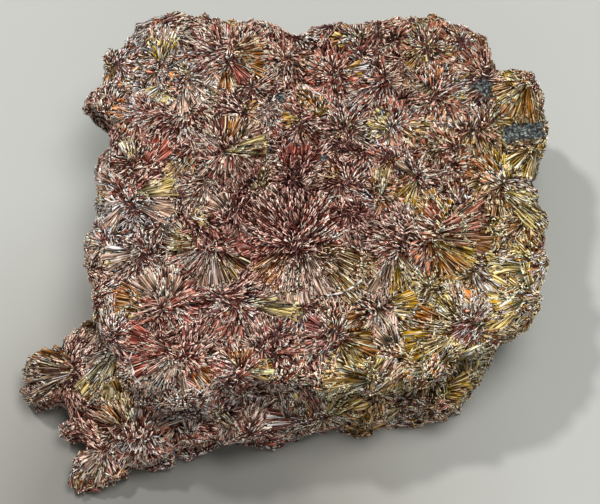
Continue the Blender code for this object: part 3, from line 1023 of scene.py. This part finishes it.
# %% The blades between the named fans
PLATES = {
    "count": 12000, "length_share": (0.35, 0.7), "widths": (0.6, 1.2), "tones": (0.43, 0.63),
    "calm_only": True,
}
LATHS = {
    "count": 30000, "length_share": (0.16, 0.45), "widths": (0.24, 0.5), "tones": (0.2, 0.85),
}
SPLINTERS = {
    "count": 126000, "length_share": (0.16, 0.52), "widths": (0.15, 0.3), "tones": (0.0, 1.0),
}

base_plates = plant(**PLATES)
base_laths = plant(**LATHS)
base_splinters = plant(**SPLINTERS)
print(len(base_laths["tip"]), "laths and", len(base_splinters["tip"]), "splinters planted")

# %% [markdown]
# ## The shape of one blade
# A blade is a thin lath that widens from its root to a squared or slanted end. Six corners and
# five faces make it a closed solid. The finest splinters get by with four corners.
# Both are built for all blades at once, from the arrays, which takes seconds rather than minutes.
# Wide plates go down first, then laths, and splinters fill what is left between them.

# %% Corners of the laths and splinters
ROOT_WIDTH = 0.35
THICKNESS = (0.06, 0.14)
SLANT = 0.9
SPLINTER_BACK = 3
LATH_FACES = [(0, 1, 3, 2), (1, 0, 4, 5), (0, 2, 4), (1, 5, 3), (2, 3, 5, 4)]
SPLINTER_FACES = [(0, 2, 1), (0, 1, 3), (0, 3, 2), (1, 2, 3)]


def blade_axes(blades):
    """Direction along each blade, and its half-width and half-thickness as vectors."""
    along = unit(blades["tip"] - blades["root"])
    flat = unit(np.cross(along, blades["normal"]))
    lifted = np.cross(flat, along)
    roll = blades["roll"][:, None]
    wide = flat * np.cos(roll) + lifted * np.sin(roll)
    thick = np.cross(wide, along)
    return (
        along,
        wide * blades["width"][:, None] / 2,
        thick * spread(*THICKNESS, len(along))[:, None] / 2,
    )


def lath_corners(blades):
    """Six corners for each lath: two at its root, four at its slanted end."""
    along, half_width, half_thick = blade_axes(blades)
    slant = blades["width"] * spread(-SLANT, SLANT, len(along)) / 2
    slant = along * slant[:, None]
    root = blades["root"]
    left_end = blades["tip"] - half_width - slant
    right_end = blades["tip"] + half_width + slant
    return np.stack(
        [
            root - half_width * ROOT_WIDTH, root + half_width * ROOT_WIDTH,
            left_end + half_thick, right_end + half_thick,
            left_end - half_thick, right_end - half_thick,
        ],
        axis=1,
    )


def splinter_corners(blades):
    """Four corners for each splinter: its root, and three at its tip."""
    _, half_width, half_thick = blade_axes(blades)
    tip = blades["tip"]
    back = tip - half_thick * SPLINTER_BACK
    return np.stack([blades["root"], tip - half_width, tip + half_width, back], axis=1)


print("a lath has", len(LATH_FACES), "faces and a splinter", len(SPLINTER_FACES))

# %% [markdown]
# ## The named fans, blade by blade
# In the clearest fans the blades run unbroken from near the centre to the outer edge. So they
# are planted a second time, one fan after the other, a little higher than the crowd around
# them. First come wide plates and long laths side by side in the colour of the fan. Then thinner
# splinters lie on them, of every tone from very dark to very pale: the fine lines that cross
# each fan. Where the stone steps down under a blade, the blade is broken in two at its middle.
# A few long edges in the photograph shine white, and pale laths follow those as painted highlights.

# %% Where the blades of the fans start and end
FAN_PLATES = {
    "density": 0.55, "widths": (0.8, 1.5), "heights": (0.1, 0.26), "reach": (0.8, 1.05),
    "tones": (0.43, 0.63),
}
FAN_LATHS = {
    "density": 0.9, "widths": (0.26, 0.5), "heights": (0.16, 0.3), "reach": (0.5, 1.0),
    "tones": (0.3, 0.8),
}
FAN_LINES = {
    "density": 3.0, "widths": (0.16, 0.3), "heights": (0.24, 0.44), "reach": (0.2, 0.7),
    "tones": (0.0, 1.0),
}
FAN_START = 1.1
EDGE_LATHS = 2
EDGE_JITTER = (-0.15, 0.15)
# Painted highlights: pale laths of the brightest tone lie along these edges, given in the picture
# plane
EDGES = [
    [(-37.5, -21.5), (-38.5, -24.5), (-37.5, -28), (-36, -30)],
    [(4, -9.5), (6.5, -10), (9.5, -9.5), (12, -8), (14, -6.5)],
    [(6, 12), (7.5, 12.5), (9.5, 12.5), (12, 11.5)],
    [(-26.5, -29), (-24.5, -30.5), (-22.5, -32)],
]


def draw_fans(density, reach):
    """Start and end of each fan's blades in the picture plane, and their families."""
    starts, ends, families = [], [], []
    for x, y, start, end, inner, outer, name, share in narrow_fans:
        extent = math.pi * (outer**2 - inner**2) * (end - start) / WHOLE_TURN
        count = math.ceil(density * share * extent)
        angle = np.radians(start + (end - start) * (np.arange(count) + draw.random(count)) / count)
        near = inner + (outer - inner) * spread(0.0, FAN_START - reach[0], count)
        far = near + (outer - near) * spread(*reach, count)
        direction = np.stack([np.cos(angle), np.sin(angle)], axis=1)
        starts.append([x, y] + direction * near[:, None])
        ends.append([x, y] + direction * far[:, None])
        families += [FAMILIES.index(name)] * count
    return starts, ends, families


def draw_edges(edges):
    """Start and end of the pale laths that follow the long shining edges."""
    starts, ends = [], []
    for edge in edges:
        for first, second in zip(edge, edge[1:]):
            for stops, place in [(starts, first), (ends, second)]:
                jitter = spread(*EDGE_JITTER, EDGE_LATHS * 2).reshape(EDGE_LATHS, 2)
                stops.append(np.array(place) + jitter)
    return starts, ends, [FAMILIES.index("white")] * EDGE_LATHS * len(starts)


print("shining edges:", len(EDGES))

# %% Plates, laths and lines along the fans
FAN_SHADE = 1.08
FAN_ROOT_DEPTH = 0.15
FAN_ROLL = 14
LONGEST_STRETCH = 1.5
EDGE_HEIGHT = 0.55
EDGE_WIDTH = 0.36


def plant_fans(density, widths, heights, reach, tones, edges=()):
    """Blades between the inner and outer edge of each fan, and pale ones along the edges."""
    starts, ends, families = draw_fans(density, reach)
    in_fans = len(families)
    edge_starts, edge_ends, edge_families = draw_edges(edges)
    starts = np.concatenate(starts + edge_starts)
    ends = np.concatenate(ends + edge_ends)
    families = np.array(families + edge_families)
    along_edge = np.arange(len(starts)) >= in_fans
    bent = ~lies_close(on_stone(*starts.T), on_stone(*ends.T))
    middle = (starts + ends) / 2
    starts = np.concatenate([starts, middle[bent]])
    ends = np.concatenate([np.where(bent[:, None], middle, ends), ends[bent]])
    families = np.concatenate([families, families[bent]])
    along_edge = np.concatenate([along_edge, along_edge[bent]])
    root = on_stone(*starts.T)
    tip = on_stone(*ends.T)
    normal = smooth_normal((root + tip) / 2)
    count = len(root)
    rise = np.where(along_edge, EDGE_HEIGHT, spread(*heights, count))
    sunk = np.where(along_edge, -EDGE_HEIGHT, FAN_ROOT_DEPTH - heights[0])
    drawn_length = np.linalg.norm(ends - starts, axis=1)
    whole = np.linalg.norm(tip - root, axis=1) < LONGEST_STRETCH * drawn_length
    whole &= lies_close(root, tip)
    blades = {
        "normal": normal, "family": families, "named": np.full(count, True),
        "shade": np.full(count, FAN_SHADE),
        "root": root - normal * sunk[:, None],
        "tip": tip + normal * rise[:, None],
        "width": np.where(along_edge, EDGE_WIDTH, spread(*widths, count)),
        "roll": np.radians(draw.normal(0, FAN_ROLL, count)),
        "tone": np.where(along_edge, 1.0, spread(*tones, count)),
    }
    return {name: values[whole] for name, values in blades.items()}


def together(*lots):
    """Several lots of blades as one."""
    return {name: np.concatenate([lot[name] for lot in lots]) for name in lots[0]}


# %% All the blades together
fan_plates = plant_fans(**FAN_PLATES)
fan_laths = plant_fans(**FAN_LATHS, edges=EDGES)
fan_lines = plant_fans(**FAN_LINES)
laths = together(base_laths, base_plates, fan_plates, fan_laths)
splinters = together(base_splinters, fan_lines)
lath_places = lath_corners(laths)
splinter_places = splinter_corners(splinters)
print(len(fan_laths["tip"]), "long laths and", len(fan_lines["tip"]), "fine lines in the fans")

# %% [markdown]
# ## Light and dark blades
# Side by side in one fan, blades of the same mineral look bright or nearly black, because each
# is turned its own way and gaps lie between them. Real gloss does part of that. The rest is
# painted into each blade's colour by its tone: the lowest are dark brown, partly the mineral's
# own dark and partly painted shade of the gaps, the highest get a painted pearly highlight, and
# the others wear their family's colour. Blades of the named fans keep that colour, and the rest
# lean towards the average of their region. Every blade has painted shade at its root, which
# makes it darker there than at its tip.

# %% Colours that the blades lean towards
RICHNESS = 1.45
LEAST_COLOUR = 0.005
NAMED_BLEND = 0.22
# Painted highlight: how much the bright blades are brightened
HIGHLIGHT_GAIN = 1.8
BRIGHT_BLEND = 0.75
BRIGHT_SHADE = (0.9, 1.8)
SHEEN_SHARE = (0.55, 0.95)
SHEEN_WHITE = 0.75
SHEEN_AROUND = 0.9
STAINED = ("gold", "amber", "olive", "russet", "umber")
STAINED_SHEEN = 0.75


def region_colour(points):
    """The average colour of all families where each point shows in the picture."""
    return family_shares(*in_picture(points)) @ family_colour


def richer(colours):
    """The colours moved away from grey."""
    grey = colours.mean(axis=1, keepdims=True)
    return np.clip(grey + (colours - grey) * RICHNESS, LEAST_COLOUR, 1)


def leaning(own, around, named, blend):
    """Each blade's own colour, moved towards the one around it: less so in a named fan."""
    return own + (around - own) * np.where(named, NAMED_BLEND, blend)[:, None]


def painted_highlight(own, around, blades):
    """The colour that each blade has if it is one of the bright ones: a painted highlight,
    brightened and partly sheen.
    """
    count = len(own)
    stained = np.isin(blades["family"], [FAMILIES.index(family) for family in STAINED])
    share = (spread(*SHEEN_SHARE, count) * np.where(stained, STAINED_SHEEN, 1.0))[:, None]
    painted_sheen = family_colour[FAMILIES.index("white")] * SHEEN_WHITE + around * SHEEN_AROUND
    highlight = leaning(own, around, blades["named"], BRIGHT_BLEND) * HIGHLIGHT_GAIN
    highlight += (painted_sheen - highlight) * share
    return highlight * spread(*BRIGHT_SHADE, count)[:, None]


print("stained families:", ", ".join(STAINED))

# %% Shades of the blades
DARK_SHARE = 0.425
BRIGHT_SHARE = 0.36
MID_SHADE = (0.3, 1.0)
DARK_SHADE = (0.0, 0.12)
REGION_BLEND = 0.58
DEEP_BROWN = (0.05, 0.006, 0.0)
ROOT_PAINTED_SHADE = 0.45
CHANNEL_DRIFT = 0.03
TINT_LIMITS = (0.003, 0.95)


def blade_tints(blades, roots, corners):
    """A colour for every corner of every blade: roots first, darkened with painted shade."""
    count = len(blades["tip"])
    tone = blades["tone"]
    region = region_tone_and_painted_light(*in_picture(blades["tip"]))
    around = richer(region_colour(blades["tip"]))
    own = family_colour[blades["family"]]
    own = richer(leaning(own, around, blades["named"], REGION_BLEND))
    own *= 1 + draw.normal(0, CHANNEL_DRIFT, (count, 3))
    shade = spread(*MID_SHADE, count)
    # Dark blades are partly the dark brown mineral and partly painted shade of the gaps; bright
    # blades get a painted highlight
    dark = tone < DARK_SHARE / np.sqrt(region)
    shade = np.where(dark, spread(*DARK_SHADE, count), shade)
    colour = own * shade[:, None] + dark[:, None] * np.array(DEEP_BROWN)
    bright = tone > 1 - BRIGHT_SHARE * np.sqrt(region)
    colour[bright] = painted_highlight(own, around, blades)[bright]
    colour *= (blades["shade"] * region)[:, None]
    tints = np.ones((count, corners, 4))
    tints[:, :, :3] = np.clip(colour, *TINT_LIMITS)[:, None, :]
    # Painted shade at each blade's root
    tints[:, :roots, :3] *= ROOT_PAINTED_SHADE
    return tints


lath_tints = blade_tints(laths, roots=2, corners=6)
splinter_tints = blade_tints(splinters, roots=1, corners=4)
print("mean blade colour", lath_tints[:, :, :3].mean(axis=(0, 1)).round(3))

# %% [markdown]
# ## The finish of a blade
# The cleavage of pyrophyllite has a pearly shine. Along each blade run fine growth lines. They
# are painted into its colour as streaks of light and shade and as pale lines of painted glint,
# and they show as a grain in the gloss. The streaks are a noise that is stretched along the
# blade. Pale blades carry a clear gloss on top, dark ones hardly any, so that the gaps between
# them stay dark. Each kind of blade gets its own depth of streak and its own shine: silver ones
# are the glossiest, and the stained ones duller.

# %% The look of each kind of blade
# Each kind's sheen colour is painted into its pale lines as glints
BLADE_FINISHES = {
    "silver": {
        "families": ("white", "silver"), "painted_sheen": srgb(252, 229, 216),
        "roughness": 0.24, "streaks": 0.9, "coat": 0.9,
    },
    "golden": {
        "families": ("cream", "gold", "amber", "olive"), "painted_sheen": srgb(250, 234, 202),
        "roughness": 0.28, "streaks": 1.0, "coat": 0.8,
    },
    "russet": {
        "families": ("rose", "russet"), "painted_sheen": srgb(250, 214, 200),
        "roughness": 0.3, "streaks": 1.0, "coat": 0.8,
    },
    "mauve": {
        "families": ("mauve", "umber", "slate"), "painted_sheen": srgb(248, 214, 208),
        "roughness": 0.34, "streaks": 1.0, "coat": 0.7,
    },
}
print("kinds of blade:", ", ".join(BLADE_FINISHES))

# %% The blade finishes
FINE_DETAIL = 2.0
STREAK_STRETCH = (3.6, 0.22, 57.0)
STREAK_MIDDLE = 0.5
STREAK_GAIN = 10.0
STREAK_LIMITS = (0.08, 1.8)
LINE_START = 0.56
LINE_GAIN = 12.0
LINE_SHARE = 0.85
LINE_PALENESS = 6.0
STAIN_SCALE = 420.0
STAIN_START = 0.56
STAIN_GAIN = 1.6
GLOSS_GRAIN = 0.3
COAT_GAIN = 4.0
COAT_ROUGHNESS = 0.1
DULL_SPECULAR = 0.12
STREAK_BUMP = 0.5
STREAK_RELIEF = 0.00006


def blade_finish(name, look):
    """The finish of one kind of blade, with its streaks, pale lines and gloss."""
    finish = Finish(name + " blades")
    tint = finish.stored("tint", "Color")
    lie = finish.stored("lie", "Vector")
    streaks = finish.cloud(lie.times_each(STREAK_STRETCH), 1.0, FINE_DETAIL)
    stain = finish.cloud(finish.own_place(), STAIN_SCALE, FINE_DETAIL)
    brightness = finish.node("ShaderNodeRGBToBW", {}, {0: tint})
    depth = STREAK_GAIN * look["streaks"]
    # Painted light and shade: the streaks brighten and darken the colour, and on bright blades pale
    # lines of painted glint show
    colour = tint.dimmed(((streaks - STREAK_MIDDLE) * depth + 1.0).clipped(*STREAK_LIMITS))
    painted_glint_lines = ((streaks - LINE_START) * LINE_GAIN).clipped(0.0, LINE_SHARE)
    glint_lined = colour.mixed(look["painted_sheen"], painted_glint_lines * (brightness * LINE_PALENESS).clipped())
    rusty = glint_lined.mixed(COLOURS["russet"], ((stain - STAIN_START) * STAIN_GAIN).clipped())
    relief = finish.node(
        "ShaderNodeBump", {},
        {"Height": streaks, "Strength": STREAK_BUMP, "Distance": STREAK_RELIEF},
    )
    finish.wear(
        Base_Color=rusty,
        Roughness=(streaks * GLOSS_GRAIN + (look["roughness"] - GLOSS_GRAIN / 2)).clipped(),
        Normal=relief,
        Specular_IOR_Level=DULL_SPECULAR,
        Coat_Weight=(brightness * look["coat"] * COAT_GAIN).clipped(),
        Coat_Roughness=COAT_ROUGHNESS,
    )
    return finish.material


blade_material = {name: blade_finish(name, look) for name, look in BLADE_FINISHES.items()}
node_count = sum(len(material.node_tree.nodes) for material in blade_material.values())
print("nodes in all blade finishes:", node_count)

# %% [markdown]
# ## Blades become pieces
# A piece with too many faces is hard to export, so the blades are dealt into pieces by finish and
# split where one gets too large. Every blade also gets its own small cell of a texture map, which
# its colours can be baked into.

# %% Where each corner of a blade lies on the map and along the blade
LATH_CELL = [
    (0.14, 0.06), (0.34, 0.06), (0.44, 0.94), (0.06, 0.94),
    (0.72, 0.06), (0.58, 0.06), (0.5, 0.94), (0.8, 0.94),
    (0.85, 0.06), (0.88, 0.7), (0.84, 0.7),
    (0.93, 0.06), (0.95, 0.7), (0.91, 0.7),
    (0.84, 0.78), (0.95, 0.78), (0.95, 0.92), (0.84, 0.92),
]
SPLINTER_CELL = [
    (0.25, 0.06), (0.44, 0.94), (0.06, 0.94),
    (0.6, 0.06), (0.5, 0.94), (0.7, 0.94),
    (0.85, 0.06), (0.76, 0.94), (0.94, 0.94),
    (0.74, 0.06), (0.8, 0.06), (0.77, 0.2),
]
LATH_LIE = [(0.15, 0), (0.85, 0), (0, 1), (1, 1), (0, 1), (1, 1)]
SPLINTER_LIE = [(0.5, 0), (0, 1), (1, 1), (0.5, 1)]
KINDS = [
    (laths, lath_places, lath_tints, LATH_FACES, LATH_CELL, LATH_LIE),
    (splinters, splinter_places, splinter_tints, SPLINTER_FACES, SPLINTER_CELL, SPLINTER_LIE),
]
print("corners on the map:", len(LATH_CELL), "for a lath and", len(SPLINTER_CELL), "for a splinter")

# %% One mesh of many blades
FIELDS = {"FLOAT_COLOR": "color", "FLOAT_VECTOR": "vector", "FLOAT": "value"}


def store(mesh, name, kind, domain, values):
    """Keep a value for each point or corner of a mesh, which its finish can read."""
    mesh.attributes.new(name, kind, domain).data.foreach_set(FIELDS[kind], values.ravel())


def mesh_of(name, points, corners, sizes):
    """A mesh of points in millimetres, with the corners of its faces and each face's size."""
    mesh = bpy.data.meshes.new(name)
    mesh.vertices.add(len(points))
    mesh.vertices.foreach_set("co", (points * MM).ravel())
    mesh.loops.add(len(corners))
    mesh.loops.foreach_set("vertex_index", corners)
    mesh.polygons.add(len(sizes))
    mesh.polygons.foreach_set("loop_start", np.concatenate([[0], sizes.cumsum()[:-1]]))
    mesh.update(calc_edges=True)
    return mesh


# %% The corners, colours and map of many blades
MAP_NAME = "OFBake"


def blade_mesh(name, rows_by_kind):
    """One mesh of the chosen rows of laths and of splinters."""
    grid = math.ceil(math.sqrt(sum(len(rows) for rows in rows_by_kind)))
    points, tints, lies, corners, sizes, cells = [], [], [], [], [], []
    made = 0
    first_point = 0
    for rows, (blades, places, colours, faces, cell, lie) in zip(rows_by_kind, KINDS):
        count, per_blade = len(rows), places.shape[1]
        flat_faces = np.array([index for face in faces for index in face])
        start = first_point + np.arange(count)[:, None] * per_blade
        corners.append((start + flat_faces).ravel())
        sizes.append(np.tile([len(face) for face in faces], count))
        number = made + np.arange(count)
        origin = np.stack([number % grid, number // grid], axis=1)[:, None, :]
        cells.append(((origin + np.array(cell)) / grid).reshape(-1, 2))
        length = np.linalg.norm(blades["tip"][rows] - blades["root"][rows], axis=1)
        span = np.stack([blades["width"][rows], length], axis=1)[:, None, :]
        luck = np.repeat(draw.random(count), per_blade).reshape(count, per_blade, 1)
        lies.append(np.concatenate([np.array(lie) * span, luck], axis=2).reshape(-1, 3))
        points.append(places[rows].reshape(-1, 3))
        tints.append(colours[rows].reshape(-1, 4))
        made += count
        first_point += count * per_blade
    mesh = mesh_of(name, *map(np.concatenate, (points, corners, sizes)))
    store(mesh, "tint", "FLOAT_COLOR", "POINT", np.concatenate(tints))
    store(mesh, "lie", "FLOAT_VECTOR", "POINT", np.concatenate(lies))
    bake_map = mesh.uv_layers.new(name=MAP_NAME)
    bake_map.data.foreach_set("uv", np.concatenate(cells).ravel())
    return mesh


# %% Deal the blades into pieces
PIECE_TRIANGLES = 190000
FLOOR_GAP = 0.15
BOX_MARGIN = 1.0


def inside_box(places):
    """Blades that stay over the table and within a millimetre of the solid's own box."""
    low = corner.min(axis=0) - BOX_MARGIN
    high = corner.max(axis=0) + BOX_MARGIN
    low[2] = FLOOR_GAP
    return ((places > low) & (places < high)).all(axis=(1, 2))


blade_pieces = []
for name, look in BLADE_FINISHES.items():
    wanted = [FAMILIES.index(family) for family in look["families"]]
    chosen = []
    triangles = 0
    for blades, places, _, faces, _, _ in KINDS:
        rows = np.flatnonzero(inside_box(places) & np.isin(blades["family"], wanted))
        chosen.append(rows)
        triangles += len(rows) * sum(len(face) - 2 for face in faces)
    parts = math.ceil(triangles / PIECE_TRIANGLES)
    for part in range(parts):
        own = [rows[part::parts] for rows in chosen]
        mesh = blade_mesh(f"{name}_blades_{part + 1}", own)
        mesh.materials.append(blade_material[name])
        piece = add_object(mesh.name, mesh)
        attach(piece, "root")
        blade_pieces.append(piece)
        print(mesh.name, len(own[0]), "laths,", len(own[1]), "splinters")

# %% [markdown]
# ## The stone between the blades
# Under and between the blades lies the massive part of the rock: the same rosettes, but packed
# tight, and darkened with painted shade for the gaps between the blades. It is a finer copy of the
# imported solid, cut twice into smaller triangles and roughened, and lowered a hair so that the
# blades' roots are buried. Its underside is the sawn flat, where the rosettes show in section as
# colour only.

# %% Refine the solid into the core
CORE_SPLITS = 2


def split_triangles(points, faces):
    """Each triangle cut into four at the middles of its sides."""
    pairs = np.sort(np.concatenate([faces[:, [0, 1]], faces[:, [1, 2]], faces[:, [2, 0]]]), axis=1)
    edges, which = np.unique(pairs, axis=0, return_inverse=True)
    middles = len(points) + which.reshape(3, -1)
    a, b, c = faces.T
    ab, bc, ca = middles
    cut = [(a, ab, ca), (ab, b, bc), (ca, bc, c), (ab, bc, ca)]
    points = np.concatenate([points, points[edges].mean(axis=1)])
    return points, np.concatenate([np.stack(piece, axis=1) for piece in cut]), edges


core_points, core_faces, core_normals = corner, triangle, corner_normal
for _ in range(CORE_SPLITS):
    core_points, core_faces, edges = split_triangles(core_points, core_faces)
    core_normals = unit(np.concatenate([core_normals, core_normals[edges].mean(axis=1)]))
print("core faces:", len(core_faces))

# %% Roughen the core
CORE_DROP = 0.3
CORE_GRAIN = 0.28
CORE_GRAIN_SIZE = 1.3
CORE_FINE_GRAIN = 0.12
CORE_FINE_SIZE = 0.55
CORE_FINE_OFFSET = 40.0
FLAT_FADE = 1.2


def rough(points, size):
    """Smooth random height at each place, with bumps of about one size in millimetres."""
    return np.array([noise.noise(Vector(point / size)) for point in points])


slate_here = on_slate(core_points, core_normals)
above_flat = np.clip(core_points[:, 2] / FLAT_FADE, 0, 1)
lift = CORE_GRAIN * rough(core_points, CORE_GRAIN_SIZE) - CORE_DROP * ~slate_here
lift += CORE_FINE_GRAIN * rough(core_points + CORE_FINE_OFFSET, CORE_FINE_SIZE)
core_places = core_points + core_normals * (lift * above_flat)[:, None]
print("the core moves by", lift.min().round(2), "to", lift.max().round(2), "millimetres")

# %% Colour the core
# Painted shade: the core's colour is darkened, for the gaps between the blades
CORE_PAINTED_SHADE = 0.4
SLATE_SHADE = (0.4, 2.4)

core_owner = nearest_rosette(core_points)
core_family = rosette_family(
    core_points, rosette_centre[core_owner], core_owner, rosette_radius[core_owner]
)
core_tint = np.ones((len(core_points), 4))
core_tint[:, :3] = family_colour[core_family] * CORE_PAINTED_SHADE
slate_colour = family_colour[FAMILIES.index("slate")]
core_tint[slate_here, :3] = slate_colour * spread(*SLATE_SHADE, slate_here.sum())[:, None]
face_owner = nearest_rosette(core_points[core_faces].mean(axis=1))
core_away = core_points[core_faces] - rosette_centre[face_owner][:, None, :]

core_mesh = bpy.data.meshes.new("stone_core")
core_mesh.from_pydata((core_places * MM).tolist(), [], core_faces.tolist())
core_mesh.update()
store(core_mesh, "tint", "FLOAT_COLOR", "POINT", core_tint)
store(core_mesh, "slate", "FLOAT", "POINT", slate_here.astype(float))
store(core_mesh, "away", "FLOAT_VECTOR", "CORNER", core_away)
core = add_object("stone_core", core_mesh)
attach(core, "root")
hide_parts(STONE)
print("core of", len(core_mesh.vertices), "points,", slate_here.sum(), "of them slate")

# %% [markdown]
# ## The finish of the core
# The imported blades of the core are too many to model, but they can be painted. Every face knows
# the way from its rosette's middle. A noise that looks only at that direction gives the same value
# along a whole ray, so it draws fine lines that run outwards, like the blades. A little of the way
# itself is mixed into that direction, which ends the lines here and there. Slate has no rays, only
# grit.

# %% The core finish
RAY_FINENESS = 26.0
RAY_DRIFT = (0.35, 0.25, 0.3)
# Painted shade and glints: the darkest stop stands for the gaps, the brightest ones for glints on
# the painted blades
RAY_LIGHT_AND_SHADE_STOPS = [
    (0.36, (0.1, 0.05, 0.04, 1.0)), (0.5, (0.7, 0.68, 0.68, 1.0)), (0.6, (1.3, 1.25, 1.22, 1.0)),
    (0.68, (3.0, 2.9, 2.9, 1.0)),
]
GRIT_SCALE = 1900.0
GRIT_DETAIL = 3.0
GRIT_MIDDLE = 0.52
GRIT_GAIN = 14.0
GRIT_LIMITS = (0.35, 3.5)
GRIT_BUMP = 0.6
GRIT_RELIEF = 0.00015
CORE_ROUGHNESS = 0.3
GRIT_ROUGHNESS = 0.35
SLATE_ROUGHNESS = 0.2

core_finish = Finish("stone between blades")
core_tone = core_finish.stored("tint", "Color")
core_slate = core_finish.stored("slate", "Fac")
away = core_finish.stored("away", "Vector")
direction = core_finish.node("ShaderNodeVectorMath", {"operation": "NORMALIZE"}, {0: away})
drifted = core_finish.node(
    "ShaderNodeVectorMath", {"operation": "MULTIPLY_ADD"},
    {0: direction, 1: (RAY_FINENESS,) * 3, 2: away.times_each(RAY_DRIFT)},
)
rays = core_finish.cloud(drifted, 1.0, FINE_DETAIL)
# Painted shade and glints along the rays
ray_light_and_shade = core_finish.node("ShaderNodeValToRGB", {"stops": RAY_LIGHT_AND_SHADE_STOPS}, {"Fac": rays})
grit = core_finish.cloud(core_finish.own_place(), GRIT_SCALE, GRIT_DETAIL)
rayed = core_tone.times_each(ray_light_and_shade)
gritty = core_tone.dimmed(((grit - GRIT_MIDDLE) * GRIT_GAIN + 1.0).clipped(*GRIT_LIMITS))
core_relief = core_finish.node(
    "ShaderNodeBump", {},
    {"Height": grit + rays, "Strength": GRIT_BUMP, "Distance": GRIT_RELIEF},
)
roughness = grit * GRIT_ROUGHNESS + core_slate * SLATE_ROUGHNESS + CORE_ROUGHNESS
core_finish.wear(
    Base_Color=rayed.mixed(gritty, core_slate),
    Roughness=roughness.clipped(),
    Specular_IOR_Level=DULL_SPECULAR,
    Normal=core_relief,
)
core_mesh.materials.append(core_finish.material)
print("nodes in the finish of the core:", len(core_finish.tree.nodes))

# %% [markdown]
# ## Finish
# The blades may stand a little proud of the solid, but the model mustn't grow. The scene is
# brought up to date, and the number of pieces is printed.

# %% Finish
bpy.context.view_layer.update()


print("pieces:", len(blade_pieces) + 1)
